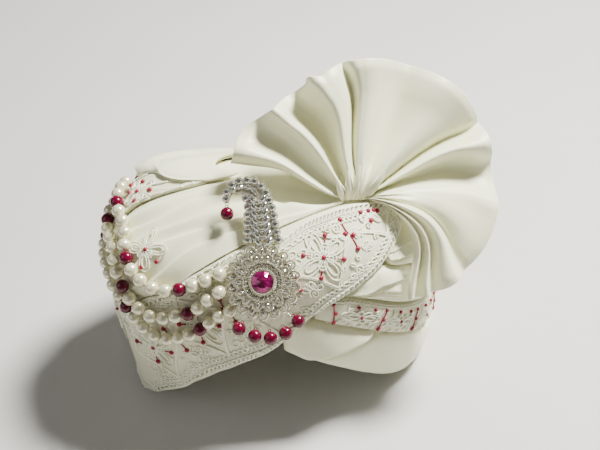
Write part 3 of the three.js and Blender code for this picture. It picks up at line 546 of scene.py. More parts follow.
def crown():
    deg = np.arange(0, 360, 1.5)
    low, step = lowest_u(deg), step_u(turn_of(deg))
    depth = -ROLL_DEPTH * recess(deg)
    below, above = step - 0.02, step + 0.03
    rows = []
    rim = level(deg, low, depth)[..., 2] + HOLLOW_LIP
    for share in np.linspace(1, 0, 14) ** 0.8:
        rows.append(hollow(deg, rim + (HOLLOW_TOP - rim) * min(share, 0.97)))
    inside = len(rows)
    for share in np.linspace(0, 1, 9):
        rows.append(level(deg, low + (below - low) * share, depth))
    for share in np.linspace(0, 0.965, 70):
        u = above + (2 - above) * share
        rows.append(over(deg, u, wound(deg, u)))
    grid = np.stack(rows, 1)
    n, m = grid.shape[:2]
    i, j = np.meshgrid(np.arange(n), np.arange(m - 1), indexing="ij")
    a, b = (i * m + j).ravel(), (((i + 1) % n) * m + j).ravel()
    quads = np.stack([a, b, b + 1, a + 1], 1)
    build = Build()
    uv = grid_uv(np.concatenate([grid, grid[:1]]))[:-1]
    mats = np.where(j.ravel() < inside, 1, 0)
    build.add(grid.reshape(-1, 3), quads, uv.reshape(-1, 2))
    build.mats[-1] = mats
    ends = [(0, np.array([0, HOLLOW_CENTRE_Y, HOLLOW_TOP]), 1), (m - 1, np.array([0, 0, CROWN_HEIGHT]), 0)]
    for k, centre, mat in ends:
        start = build.count
        build.add([centre], np.zeros((0, 4), int))
        row = np.arange(n) * m + k
        caps = np.stack([np.full(n, start), np.roll(row, -1), row], 1)
        if k:
            caps = caps[:, ::-1]
        build.faces.append(caps)
        build.mats.append(np.full(n, mat))
    made = build.piece("crown_cloth", [IVORY, LINING], "ivory_cloth", ["crown"], sharp=60)


crown()


# Front bands

LEFT_HIGH = np.array([
    (-9, 0.86), (0, 0.85), (7.5, 0.883), (18, 1.0), (27.5, 1.1), (36, 1.285), (46.5, 1.46),
    (63.5, 1.61), (85, 1.67), (99, 1.64), (117, 1.52),
])
RIGHT_PATH = np.array([
    (-10.5, 0.1, -10.5, 0.9), (-18, 0.167, -16.5, 1.12), (-27, 0.26, -21.5, 1.3),
    (-36, 0.372, -22, 1.44), (-45, 0.505, -20.5, 1.57), (-54, 0.635, -18, 1.67),
    (-63, 0.79, -15.5, 1.745), (-72, 0.95, -13.5, 1.79), (-81, 1.05, -14, 1.84),
    (-90, 1.15, -22, 1.88), (-99, 1.24, -45, 1.9), (-108, 1.33, -80, 1.88),
])


class Canvas:
    """A strip of the surface with its own lengths: x along it and y across it, in millimetres."""

    def __init__(self, edges, lifted, standoff):
        self.edges, self.lifted, self.standoff = edges, lifted, standoff
        s = np.linspace(0, 1, 241)
        middle = self.point(s, np.full_like(s, 0.5), 0)
        steps = np.linalg.norm(np.diff(middle, axis=0), axis=-1)
        self.s, self.run = s, np.concatenate([[0], np.cumsum(steps)])
        w = np.linspace(0, 1, 13)
        lines = self.point(s[:, None], w[None, :], 0)
        self.column = np.linalg.norm(np.diff(lines, axis=1), axis=-1).sum(1)
        along = unit(np.gradient(middle, axis=0))
        across = unit(self.point(s, np.full_like(s, 0.52), 0) - self.point(s, np.full_like(s, 0.48), 0))
        self.slant = np.clip((along * across).sum(-1), -0.85, 0.85)
        self.width = self.column * np.sqrt(1 - self.slant**2)
        self.length = self.run[-1]
        # Rise of the pattern by x, and the length that isn't covered
        self.pattern = ([0, 1], [0, 0])
        self.open_length = self.length

    def deg_u(self, s, w):
        low_turn, low, high_turn, high = self.edges(s)
        return low_turn + (high_turn - low_turn) * w, low + (high - low) * w

    def point(self, s, w, lift):
        deg, u = self.deg_u(s, w)
        p = self.lifted(deg, u, np.broadcast_to(lift, np.shape(deg)))
        p[..., 2] = np.maximum(p[..., 2], 0)
        return p

    def lay(self, xy, lift):
        """Points and normals of a drawn line on the strip."""
        xy = np.asarray(xy, float)
        s = np.interp(xy[:, 0], self.run, self.s)
        slant = np.interp(s, self.s, self.slant)
        up_column = xy[:, 1] / np.sqrt(1 - slant**2)
        s = np.interp(xy[:, 0] - up_column * slant, self.run, self.s)
        w = 0.5 + up_column / np.interp(s, self.s, self.column)
        w = np.clip(w, 0.005, 0.995)
        base = self.point(s, w, self.standoff + lift)
        up = unit(self.point(s, w, self.standoff + lift + 1) - base + 1e-9)
        return base, up

    def breadth(self, x):
        return np.interp(x, self.run, self.width)

    def rise(self, x):
        """How far the pattern's middle sits above the strip's middle at x."""
        return np.interp(x, *self.pattern)

    def held(self, line):
        """The line kept between the braids."""
        line = np.atleast_2d(line)
        room = self.breadth(line[:, 0]) / 2 - BRAID_WIDTH - 0.3
        return np.stack([line[:, 0], np.clip(line[:, 1], -room, room)], 1)

    def edge_turn(self, x, side):
        """Degrees by which the strip's edge leans away from its middle line at x."""
        rise = side * (self.breadth(x + 4) - self.breadth(x - 4)) / 2
        return math.degrees(math.atan2(rise, 8))


def left_edges(s):
    deg = -9 + 126 * np.asarray(s, float)
    low = np.where(deg < 0, 0.08 * deg / -9, band_low(np.maximum(deg, 0)))
    return deg, low, deg, hermite(deg, LEFT_HIGH[:, 0], LEFT_HIGH[:, 1])


class Patch:
    """A small area of the surface round one place, with flat directions of its own."""

    def __init__(self, deg, u, turn, lifted, standoff):
        self.deg, self.u, self.turn = deg, u, turn
        self.lifted, self.standoff = lifted, standoff
        along = body(deg + 0.5, u) - body(deg - 0.5, u)
        climb = (body(deg, u + 0.01) - body(deg, u - 0.01)) / 0.02
        first = unit(along)
        second = np.cross(body_normal(deg, u), first)
        flat = [[along @ first, climb @ first], [along @ second, climb @ second]]
        self.back = np.linalg.inv(np.array(flat))

    def lay(self, xy, lift):
        places = rotate(np.asarray(xy, float), self.turn) @ self.back.T
        deg, u = self.deg + places[:, 0], self.u + places[:, 1]
        level_up = np.broadcast_to(lift, deg.shape) + self.standoff
        base = self.lifted(deg, u, level_up)
        return base, unit(self.lifted(deg, u, level_up + 1) - base)


# Sizes of the embroidery's braid, cord and knots
BRAID_WIDTH = 6.6
CORD_RADIUS = 0.68
KNOT_SIZE = 1.85


def rotate(points, turn):
    c, s = math.cos(turn * RAD), math.sin(turn * RAD)
    return points @ np.array([[c, s], [-s, c]])


def oval(half_long, half_wide, a):
    return np.stack([half_long * np.cos(a), half_wide * np.sin(a)], 1)


def petal(length, width, turn, start=0.0, n=16):
    t = np.linspace(0, 2 * math.pi, n)
    x = start + length * (1 - np.cos(t)) / 2
    y = 0.62 * width * np.sin(t) * np.abs(np.sin(t / 2)) ** 0.5
    return rotate(np.stack([x, y], 1), turn)


def spiral(radius, turns, turn, n=18):
    t = np.linspace(0.12, 1, n)
    a = t * turns * 2 * math.pi
    return rotate(oval(radius * t, radius * t, a), turn)


def bow(a, b, sag, n=14):
    """A curve from a to b that bends aside by sag."""
    a, b = np.asarray(a, float), np.asarray(b, float)
    t = np.linspace(0, 1, n)[:, None]
    aside = np.array([-(b - a)[1], (b - a)[0]]) / max(np.linalg.norm(b - a), 1e-9)
    return a + (b - a) * t + aside * sag * np.sin(t * math.pi)


def flower(size):
    """Petal loops, stems and knots of one flower of the given half size."""
    cords, stems, knots = [], [], [(0.0, 0.0)]
    for k in range(4):
        turn = 90 * k
        cords.append(petal(size, size * 0.5, turn, 1.4, 20))
        cords.append(petal(size * 0.66, size * 0.26, turn, 3.4, 16))
        cords.append(petal(size * 0.4, size * 0.3, turn + 45, 1.6, 14))
        cords.append(petal(size * 0.2, size * 0.13, turn + 45, 3.2, 10))
        tip = rotate(np.array([[size * 0.78, 0.0]]), turn + 45)[0]
        root = rotate(np.array([[size * 0.5, 0.0]]), turn + 45)[0]
        stems.append(np.linspace(root, tip, 5))
        knots.append(tuple(tip))
    return cords, stems, knots


def panel(canvas, x, half, lean, cords, stems, knots):
    """One panel of the band: a diamond of bowed lines with its flower, and scrolls outside it."""
    tall = canvas.breadth(x) / 2 - BRAID_WIDTH - 1.5
    centre = np.array([x, 0.0])
    heart = np.array([x, canvas.rise(x)])
    for sx in (-1, 1):
        for sy in (-1, 1):
            side = canvas.rise(x + sx * half)
            cords.append(centre + bow((sx * half, side), (0, sy * tall), sx * sy * 2.2))
            cords.append(centre + bow((sx * (half - 2.4), side), (0, sy * (tall - 2.4)), sx * sy * 1.4))
            corner = centre + np.array([sx * half * 0.74, sy * tall * 0.7])
            curl = min(4.4, tall * 0.24)
            cords.append(corner + spiral(curl, 1.9, 90 * sx + 40 * sy, 24))
            for turn in (sy * 50 + 90 - 90 * sx, sy * 105 + 90 - 90 * sx, sy * 160 + 90 - 90 * sx):
                cords.append(corner + petal(curl * 1.25, curl * 0.8, turn, curl * 0.9, 12))
            inner = centre + np.array([sx * half * 0.33, sy * tall * 0.42])
            cords.append(inner + spiral(2.3, 1.4, 60 * sx * sy, 14))
            for share in (0.2, 0.42):
                small = centre + np.array([sx * half * (1 - share), sy * tall * (0.2 + share * 0.5)])
                cords.append(small + petal(3.6, 2.2, 90 * sy + 30 * sx, 0, 9))
    size = min(half * 0.74, tall * 0.86)
    for group, target in zip(flower(size), (cords, stems, knots)):
        for line in group:
            target.append(heart + rotate(np.atleast_2d(np.asarray(line)), lean))


def cross_stem(canvas, x, stems, knots):
    """The stem with knots at both ends that stands where two panels meet."""
    tall = min(11.0, (canvas.breadth(x) / 2 - BRAID_WIDTH) * 0.66)
    y = canvas.rise(x)
    for sy in (-1, 1):
        stems.append(np.array([x, y]) + bow((0, 0), (0.4 * sy, sy * tall), 0.6, 7))
        knots.append((x + 0.4 * sy, y + sy * tall))
        knots.append((x - 2.4 * sy, y + sy * tall * 0.16))


def edge_chain(canvas, cords, inset, pitch, radius, start, end):
    """A row of small loops just inside the braid."""
    for sy in (-1, 1):
        for x in np.arange(start, end, pitch):
            y = sy * (canvas.breadth(x) / 2 - inset)
            a = np.linspace(0, 2 * math.pi, 11)
            cords.append(oval(pitch * 0.5, radius, a) + (x, y))


def chain_link(canvas, x, y, turn, half_long=3.3, half_wide=1.35, n=18):
    """One slanted link, whose far end rides over the next one."""
    a = np.linspace(0, 2 * math.pi, n, endpoint=False)
    flat = rotate(oval(half_long, half_wide, a), turn) + (x, y)
    return canvas.lay(flat, BAND_THICK + 0.75 + 0.6 * np.cos(a))


def braid(build, canvas, side, pitch=3.7):
    """A chain of slanted links along one edge of the strip, between two plain cords."""
    for x in np.arange(2.6, canvas.open_length - 2.4, pitch):
        y = side * (canvas.breadth(x) / 2 - BRAID_WIDTH / 2 - 0.4)
        lean = 24 + canvas.edge_turn(x, side)
        base, up = chain_link(canvas, x, y, lean)
        tube(build, base, up, 0.72, 6, 1.0, closed=True)
    x = np.linspace(0.6, canvas.open_length - 0.6, int(canvas.open_length / 1.2))
    for inset, radius in ((0.9, 0.75), (BRAID_WIDTH + 0.1, 0.6)):
        y = side * (canvas.breadth(x) / 2 - inset)
        base, up = canvas.lay(np.stack([x, y], 1), BAND_THICK + 0.35)
        tube(build, base, up, radius, 6, 1.0)


def end_braid(build, canvas, x):
    """The cord that finishes a cut end of the strip."""
    half = canvas.breadth(x) / 2 - BRAID_WIDTH
    y = np.linspace(-half, half, 60)
    for k in range(2):
        a = y / 5.0 * 2 * math.pi + k * math.pi
        base, up = canvas.lay(np.stack([x + 1.1 * np.sin(a), y], 1), BAND_THICK + 0.8 + 0.5 * np.cos(a))
        tube(build, base, up, 1.0, 6)


def draw(build, canvas, lines, lift, radius):
    """Cords laid along drawn lines."""
    for line in lines:
        base, up = canvas.lay(line, lift)
        tube(build, base, up, radius, 5, 0.9)


def dots(build, canvas, places, lift, size):
    """Flattened knots at the given places."""
    for place in places:
        base, up = canvas.lay(np.atleast_2d(place), lift)
        ball(build, base[0], size, 0, 10, 7, 0.75, up[0])


def ornament(prefix, canvas, centres, half, lean, sprigs):
    """Cord embroidery, magenta stems and knots on a strip."""
    cords, stems, knots = [], [], []
    for x in centres:
        panel(canvas, x, half, lean, cords, stems, knots)
    for x in centres:
        if half < x + half < canvas.length - 8:
            cross_stem(canvas, x + half, stems, knots)
    cords, stems, knots = [[canvas.held(line) for line in group] for group in (cords, stems, knots)]
    edge_chain(canvas, cords, BRAID_WIDTH + 2.6, 4.0, 1.5, 6, canvas.open_length - 6)
    build = Build()
    draw(build, canvas, cords, BAND_THICK + 0.5, CORD_RADIUS)
    for patch, size in sprigs:
        draw(build, patch, flower(size)[0], BAND_THICK + 0.5, CORD_RADIUS)
    embroidery = build.piece(prefix + "_embroidery", [CORD], "embroidered_cloth")
    build = Build()
    draw(build, canvas, stems, BAND_THICK + 0.7, 0.5)
    for patch, size in sprigs:
        draw(build, patch, flower(size)[1], BAND_THICK + 0.7, 0.5)
        dots(build, patch, flower(size)[2], BAND_THICK + 0.9, KNOT_SIZE)
    dots(build, canvas, knots, BAND_THICK + 0.9, KNOT_SIZE)
    reds = build.piece(prefix + "_knots", [MAGENTA_THREAD], "magenta_bead")
    return [embroidery, reds]


def band(prefix, canvas, node, centres, ends, lean=0, sprigs=()):
    s = np.linspace(0, 1, 190)
    w = np.linspace(0, 1, 46)
    edge = np.minimum(w, 1 - w) * canvas.width.mean()
    puff = 0.5 * smooth(0, 10, edge) - 0.5 * smooth(0, 2, 2 - edge)
    wave = 0.35 * np.sin(s[:, None] * 41 + 3 * w[None, :]) * np.sin(w[None, :] * math.pi)
    top = canvas.point(s[:, None], w[None, :], canvas.standoff + BAND_THICK - 0.5 + puff[None, :] + wave)
    bottom = canvas.point(s[:, None], w[None, :], canvas.standoff)
    build = Build()
    shell(build, top, bottom)
    cloth = build.piece(prefix + "_cloth", [GROUND], "embroidered_cloth", [node], sharp=60)
    build = Build()
    for side in (-1, 1):
        braid(build, canvas, side)
    for x in ends:
        end_braid(build, canvas, x)
    braids = build.piece(prefix + "_braid", [CORD], "embroidered_cloth")
    parts = ornament(prefix, canvas, centres, HALF_PANEL, lean, sprigs)
    return cloth


left_canvas = Canvas(left_edges, over, BAND_STANDOFF)
right_canvas = Canvas(lambda s: columns(RIGHT_PATH, s), over_soft, RIGHT_STANDOFF)
# The far end of the right band lies plain under the wrap
right_canvas.open_length = 0.76 * right_canvas.length
HALF_PANEL = 25.0
# The flower that shows best on the left band stands at this turn, and the others follow from it
MAIN_FLOWER_TURN = 75.6
main_flower = np.interp((MAIN_FLOWER_TURN + 9) / 126, left_canvas.s, left_canvas.run)
LEFT_FLOWERS = main_flower + 2 * HALF_PANEL * np.arange(-3, 2)
# How far the pattern sits above the middle of the left band, from before that flower to the band's end
left_canvas.pattern = (main_flower + np.array([-50, 0, 25, 50]), [1, 4, 8, 12])
RIGHT_FLOWERS = np.arange(16, right_canvas.length - 8, 2 * HALF_PANEL)
FAR_SPRIGS = [(Patch(-28, 1.5, 20, over_soft, RIGHT_STANDOFF), 11.0)]
band("left_band", left_canvas, "left_front_band", LEFT_FLOWERS,
     [left_canvas.length - 2.5], 12)
band("right_band", right_canvas, "right_front_band", RIGHT_FLOWERS,
     [2.0], -12, FAR_SPRIGS)


# Plain pleated cloth in the V between the bands

V_PATH = np.array([
    (1, 0.863, -9, 0.905), (9, 0.905, -15, 1.12), (18, 1.012, -20.2, 1.3), (27.5, 1.112, -20.8, 1.44),
    (35, 1.285, -19.2, 1.57), (44, 1.44, -16.8, 1.67), (58, 1.59, -14, 1.745), (76, 1.665, -12, 1.79),
    (92, 1.68, -6, 1.86),
])
# Knots of the small sprig on the pleated cloth, the first at its heart
SPRIG_KNOTS = [(10, 1.335), (19, 1.295), (13.5, 1.23)]
PLEAT_FOLDS = 5
PLEAT_RISE = 3.0


def pleated_front():
    canvas = Canvas(lambda s: columns(V_PATH, s), over, BAND_STANDOFF)
    s = np.linspace(0, 1, 150)[:, None]
    w = np.linspace(0, 1, 110)[None, :]
    phase = w * PLEAT_FOLDS + 0.2 * np.sin(s * 7 + 1 + 2.4 * w) + 0.35 * s
    phase = phase + 0.12 * np.sin(s * 15 + 9 * w)
    share = phase - np.floor(phase)
    fold = np.where(share < 0.84, smooth(0, 0.84, share), smooth(0, 0.16, 1 - share))
    fold = fold * (0.55 + 0.45 * np.sin(s * 6 + 2.1 * np.floor(phase)) ** 2)
    soft = 0.8 * np.sin(s * 13 + w * 7) * np.sin(w * math.pi) * np.sin(s * math.pi)
    lift = BAND_STANDOFF + PLEAT_THICK + PLEAT_RISE * fold * np.sin(w * math.pi) ** 0.4 + soft
    top = canvas.point(s, w, lift)
    bottom = canvas.point(s, w, BAND_STANDOFF + 0 * lift)
    build = Build()
    shell(build, top, bottom)
    cloth = build.piece("pleated_cloth", [SATIN], "ivory_satin", ["pleated_front"], sharp=60)
    patch = Patch(*SPRIG_KNOTS[0], 20, over, BAND_STANDOFF)
    height = PLEAT_THICK + PLEAT_RISE + 0.6
    build = Build()
    draw(build, patch, flower(13)[0], height, 0.6)
    sprig = build.piece("pleated_sprig", [CORD], "embroidered_cloth")
    build = Build()
    for deg, u in SPRIG_KNOTS:
        dots(build, Patch(deg, u, 0, over, 0), [(0, 0)], BAND_STANDOFF + height + 0.3, KNOT_SIZE * 0.9)
    knots = build.piece("pleated_knots", [MAGENTA_THREAD], "magenta_bead")


pleated_front()


# Padded wrap over the right shoulder

WRAP_PATH = np.array([
    (-41, 1.4, -58, 1.12, 1.3), (-38.5, 1.53, -65, 1.14, 0.9), (-34, 1.64, -74, 1.18, 0.5),
    (-24, 1.735, -84, 1.24, 0.25), (-11, 1.79, -95, 1.32, 0.15), (-12, 1.87, -108, 1.4, 0.1),
    (-60, 1.93, -124, 1.48, 0.1),
])
WRAP_OUT = unit(np.array([-0.55, -0.25, 0.8]))


def right_wrap():
    s = np.linspace(0, 1, 110)[:, None]
    w = np.linspace(0, 1, 60)[None, :]
    low_turn, low, high_turn, high, height = columns(WRAP_PATH, s)
    deg = low_turn + (high_turn - low_turn) * w
    u = low + (high - low) * w
    fold = 1.1 * np.abs(np.sin(w * 9 + 2.2 * s + 0.6 * np.sin(s * 9))) ** 0.6
    puff = 0.7 * WRAP_PUFF * height * np.sin(w * math.pi) + fold * np.sin(w * math.pi) ** 0.5
    base = RIGHT_STANDOFF + BAND_THICK + 0.5
    free = 0.4 * np.sin(w * math.pi) + 0 * s
    out = unit(soft_normal(deg, u) + WRAP_OUT * free[..., None])
    bottom = body(deg, u) + out * (base + 1.2 * free)[..., None]
    top = bottom + out * (1.3 + puff)[..., None]
    build = Build()
    shell(build, top, bottom)
    made = build.piece("right_wrap_cloth", [SATIN], "ivory_satin", ["right_wrap"], sharp=70)


right_wrap()


# Padded rolls round the back

ROLLS = [
    {"name": "lower_roll", "from": 0, "to": 1, "start": 63, "material": SATIN, "slot": "ivory_satin"},
    {"name": "embroidered_roll", "from": 1, "to": 2, "start": 72, "material": GROUND,
     "slot": "embroidered_cloth"},
    {"name": "middle_roll", "from": 2, "to": 3, "start": 81, "material": SATIN, "slot": "ivory_satin"},
    {"name": "upper_roll", "from": 3, "to": None, "start": 99, "material": SATIN, "slot": "ivory_satin"},
]
# Creases of the plain rolls: where each starts and ends (turn, share), its height and its width
CREASES = {
    "lower_roll": [(67, -0.05, 93, 1.02, 6.5, 0.15), (108, 0.2, 146, 0.9, 3.0, 0.13),
                   (168, 0.15, 205, 0.85, 2.8, 0.14), (222, 0.2, 258, 0.8, 2.6, 0.14)],
    "middle_roll": [(78, 0.18, 112, 0.45, 3.2, 0.09), (80, 0.1, 118, 0.22, 2.2, 0.07),
                    (84, 0.3, 108, 0.75, 3.0, 0.09), (96, 0.25, 128, 0.35, 2.0, 0.06),
                    (128, 0.2, 160, 0.8, 2.0, 0.12), (150, 0.15, 182, 0.6, 1.8, 0.1),
                    (178, 0.2, 208, 0.8, 2.0, 0.12), (222, 0.2, 255, 0.75, 2.0, 0.12)],
    "upper_roll": [(96, 0.5, 122, 0.2, 2.8, 0.09), (100, 0.8, 130, 0.45, 2.8, 0.09),
                   (140, 0.2, 170, 0.75, 1.7, 0.12), (165, 0.15, 196, 0.6, 1.5, 0.1),
                   (192, 0.25, 224, 0.75, 1.7, 0.12)],
}


def roll_span(spec, deg):
    t = turn_of(deg)
    top = step_u(t) - 0.035
    if spec["to"] is not None:
        top = np.minimum(roll_edge(t, spec["to"]), top)
    low = roll_edge(t, spec["from"]) + (0.003 if spec["from"] else 0)
    return low, top - 0.003


def roll_profile(share):
    """Bulge of the roll and how deep its seams are drawn in, by share of its height."""
    x = np.abs(2 * share - 1)
    return ROLL_BULGE * np.sqrt(np.maximum(0, 1 - x**3.2)), ROLL_SEAM * x**11


def roll_surface(spec, deg, share, extra=0.0):
    low, high = roll_span(spec, deg)
    size = np.minimum(1, (high - low) / 0.2)
    bulge, seam = roll_profile(share)
    lift = size * (bulge - seam) - 3 * (1 - size) + extra
    return level(deg, low + (high - low) * share, lift)


def crease_height(name, deg, share):
    out = np.zeros(np.broadcast(deg, share).shape)
    for a, sa, b, sb, height, width in CREASES.get(name, []):
        along = (deg - a) / (b - a)
        line = sa + (sb - sa) * along
        gap = share - line
        fade = smooth(-0.12, 0.12, along) * (1 - smooth(0.9, 1.12, along))
        lip = np.where(gap > 0, smooth(0, 0.7 * width, gap) * np.exp(-gap / (2.6 * width)), 0)
        out = out + fade * height * (lip - 0.65 * np.exp(-np.abs(gap) / (0.28 * width)))
    return out * np.sin(np.clip(share, 0, 1) * math.pi) ** 0.35


def roll(spec):
    start = spec["start"]
    deg = np.arange(start, 360 - start + 0.01, 0.6)[:, None]
    share = (1 - np.cos(np.linspace(0, 1, 60) * math.pi))[None, :] / 2
    fold = crease_height(spec["name"], deg, share)
    fold = fold + 0.35 * np.sin(deg * 0.31 + 5 * share) * np.sin(share * math.pi)
    front = roll_surface(spec, deg, share, fold)
    low, high = roll_span(spec, deg)
    depth = -ROLL_DEPTH * recess(deg) + 2
    back = np.concatenate([level(deg, low + (high - low) * k, depth) for k in (0.9, 0.5, 0.1)], 1)
    loops = np.concatenate([front, back], 1)
    loops[..., 2] = np.maximum(loops[..., 2], 0)
    build = Build()
    loops_body(build, loops)
    made = build.piece(spec["name"] + "_cloth", [spec["material"]], spec["slot"], [spec["name"]], sharp=70)


for spec in ROLLS:
    roll(spec)


class RollCanvas(Canvas):
    """The embroidered roll's face as a strip."""

    def __init__(self, spec, start, end):
        self.spec, self.start, self.end = spec, start, end
        super().__init__(None, None, 0)

    def point(self, s, w, lift):
        deg = self.start + (self.end - self.start) * np.asarray(s, float)
        return roll_surface(self.spec, deg, np.asarray(w, float), lift)


# Half the distance between the roll's flowers, and the place of the first one along it
ROLL_HALF_PANEL = 22.0
ROLL_FIRST_FLOWER = 31


def roll_ornament():
    canvas = RollCanvas(ROLLS[1], 74, 286)
    cords, stems, knots = [], [], []
    half = ROLL_HALF_PANEL
    count = int(canvas.length / (2 * half))
    for k in range(count):
        x = ROLL_FIRST_FLOWER + 2 * half * k
        tall = canvas.breadth(x) / 2 - 2.2
        if x > canvas.length - 10:
            break
        centre = np.array([x, 0.0])
        for turn, length, width in ((0, 16.5, 9), (180, 16.5, 9), (0, 11, 4.4), (180, 11, 4.4),
                                    (55, 7.5, 4.2), (125, 7.5, 4.2), (-55, 6.5, 4.2), (-125, 6.5, 4.2)):
            cords.append(centre + petal(length, width, turn, 1.4, 16))
        for side in (-1, 1):
            cords.append(centre + (side * 12.5, -tall * 0.55) + spiral(3.2, 1.7, 40 * side))
            cords.append(centre + (side * 12.0, tall * 0.5) + spiral(2.6, 1.6, -50 * side))
            cords.append(centre + (side * 5.0, -tall * 0.78) + spiral(2.0, 1.3, 100 * side))
            cords.append(centre + bow((side * 18.5, -tall * 0.9), (side * 15.5, tall * 0.85), side * 2.2))
            knots.append((x + side * 7.6, tall * 0.74))
        knots.append((x, 0.0))
        for place in (x - half, x + half) if k == 0 else (x + half,):
            low, high = np.array([place + 3.0, -tall * 0.8]), np.array([place - 3.0, tall * 0.8])
            stems.append(low + bow((0, 0), high - low, 1.2, 9))
            for share in (0, 0.08, 0.55, 1):
                knots.append(tuple(low + (high - low) * share))
    for side in (-1, 1):
        x = np.linspace(2, canvas.length - 2, 260)
        for inset, ripple in ((1.6, 0.45), (2.9, -0.45)):
            y = side * (canvas.breadth(x) / 2 - inset) + ripple * np.sin(x / 3.4 * 2 * math.pi)
            cords.append(np.stack([x, y], 1))
    build = Build()
    draw(build, canvas, cords, 0.55, 0.66)
    build.piece("embroidered_roll_cords", [CORD], "embroidered_cloth")
    build = Build()
    draw(build, canvas, stems, 0.9, 0.55)
    dots(build, canvas, knots, 1.0, 1.5)
    build.piece("embroidered_roll_knots", [MAGENTA_THREAD], "magenta_bead")


roll_ornament()


# Fan: one sheet gathered to its root

fan_normal = vec(
    math.sin(FAN_AZIMUTH * RAD) * math.cos(FAN_TILT * RAD),
    -math.cos(FAN_AZIMUTH * RAD) * math.cos(FAN_TILT * RAD),
    math.sin(FAN_TILT * RAD))
fan_right = vec(math.cos(FAN_AZIMUTH * RAD), math.sin(FAN_AZIMUTH * RAD), 0)
fan_up = np.cross(fan_normal, fan_right)
fan_centre = over(KNOT_TURN, KNOT_U, FAN_LIFT)
# Angle at the edge and outline radius as a share of FAN_RADIUS
FAN_EDGE = np.array([
    (-72, 0.99), (-64, 1.02), (-56, 1.043), (-46, 1.052), (-28, 1.063), (-8, 1.04), (13, 1.0),
    (22, 1.008), (34, 0.995), (46, 0.98), (57, 0.968), (76, 0.958), (92, 0.957), (103, 0.958),
    (109, 0.945), (113.5, 0.93), (117, 0.96), (119.5, 0.975), (121, 0.945), (124, 0.935),
    (131, 0.955), (137, 0.985), (142, 1.01), (147, 1.05), (152, 1.11), (157, 1.14), (162, 1.15),
    (168, 1.155),
])
# Angle at the edge and height of the fold there as a share of FOLD_HEIGHT
FAN_FOLD = np.array([
    (-72, 0.1), (-70, 0.35), (-67, -0.35), (-64, 0.45), (-61, -0.3), (-57, 0.4), (-53, 0.5),
    (-49, -0.2), (-45, 0.15), (-37, 0.75), (-27, 1.0), (-17, 0.65), (-10, -0.5), (-4, -1.0),
    (3, -0.75), (9, 0.35), (14, 0.75), (18, 0.3), (22, -0.85), (26, -0.3), (34, 0.5), (43, 0.9),
    (50, 0.85), (58, 0.15), (66, -0.85), (72, -0.75), (79, 0.1), (86, 0.7), (93, 0.8), (98, 0.45),
    (100.5, -0.4), (104, 0.35), (111, 0.95), (117, 0.95), (120.5, 0.0), (125, -0.95), (130, -1.05),
    (135.5, -0.3), (138.5, 0.75), (142, 1.0), (146, 0.1), (151, -0.45), (158, -0.1), (163, 0.8),
    (166, 0.7), (168, -0.1),
])
# Degrees by which the folds turn up towards the root, by their angle at the edge
FAN_BEND = np.array([(-72, 82), (21, 14), (50, 3), (99, 0), (168, 0)])
FOLD_HEIGHT = 9.5


# Where the folds run together, at the top edge of the left band
FAN_ROOT = over(100, 1.63, 6.5)


def fan_point(edge_angle, q, back):
    radius = FAN_RADIUS * hermite(edge_angle, FAN_EDGE[:, 0], FAN_EDGE[:, 1]) * q
    bend = np.interp(edge_angle, FAN_BEND[:, 0], FAN_BEND[:, 1]) * (1 - q) ** 2
    angle = edge_angle + bend - 8 * smooth(-45, -72, edge_angle) * q
    centre = fan_centre + (FAN_ROOT - fan_centre) * (1 - smooth(0.1, 0.75, q))[..., None]
    wander = 2.2 * np.sin(edge_angle * RAD * 2.2) * (1 - q) + 1.2 * np.sin(q * 7 + edge_angle * RAD * 5)
    fold = hermite(edge_angle + wander * smooth(0.1, 0.5, q), FAN_FOLD[:, 0], FAN_FOLD[:, 1])
    reach = q * (2.25 - 1.3 * q)
    gather = 1.0 * np.sin(edge_angle * RAD * 26) * np.exp(-(((q - 0.14) / 0.14) ** 2))
    h = FOLD_HEIGHT * fold * reach + gather
    h = h + FAN_TAIL * smooth(-20, -58, edge_angle) * (0.3 + 0.7 * smooth(0.13, 0.4, q))
    h = h - 7.0 * (1 - smooth(0.02, 0.2, q)) - 1.6 * smooth(0.9, 1, q) ** 2 - back
    h = h + 0.7 * np.sin(edge_angle * RAD * 7 + q * 9) * q
    c, s = np.cos(angle * RAD), np.sin(angle * RAD)
    return (centre + fan_right * (radius * c)[..., None] + fan_up * (radius * s)[..., None]
            + fan_normal * h[..., None])


def fan():
    angle = np.linspace(FAN_EDGE[0, 0], FAN_EDGE[-1, 0], 460)[:, None]
    q = np.concatenate([np.linspace(0.045, 0.985, 76), 1 - 0.015 * (1 - np.linspace(0.3, 1, 5)) ** 2])
    q = q[None, :]
    hem = np.clip((q - 0.985) / 0.015, 0, 1)
    thick = 0.75 * np.sqrt(np.maximum(0, 1 - hem**2)) + 0.05
    angle, q = np.broadcast_arrays(angle, q)
    top = fan_point(angle, q, 0.8 - thick)
    bottom = fan_point(angle, q, 0.8 + thick)
    build = Build()
    shell(build, top, bottom)
    made = build.piece("fan_cloth", [SATIN], "ivory_satin", ["fan"], sharp=75)


def root_pleats(build, count=9):
    """Gathers that rise from the band's top edge over the knot and open into the fan."""
    t = np.linspace(0, 1, 26)[:, None]
    for k in range(count):
        share = k / (count - 1)
        deg = np.array(92.0 + 14 * share)
        low = over(deg, hermite(deg, LEFT_HIGH[:, 0], LEFT_HIGH[:, 1]) + 0.03, 3.0)
        top = fan_point(np.array(140.0 - 96 * share), np.array(0.27), 0.4)
        mid = (low + top) / 2 + fan_normal * 3.5
        path = low * (1 - t) ** 2 + 2 * mid * t * (1 - t) + top * t**2
        width = 2.5 * np.sin(np.pi * (0.14 + 0.8 * t[:, 0])) ** 0.8
        normals = np.broadcast_to(fan_normal, path.shape)
        tube(build, path, normals, width, 12, 0.9)


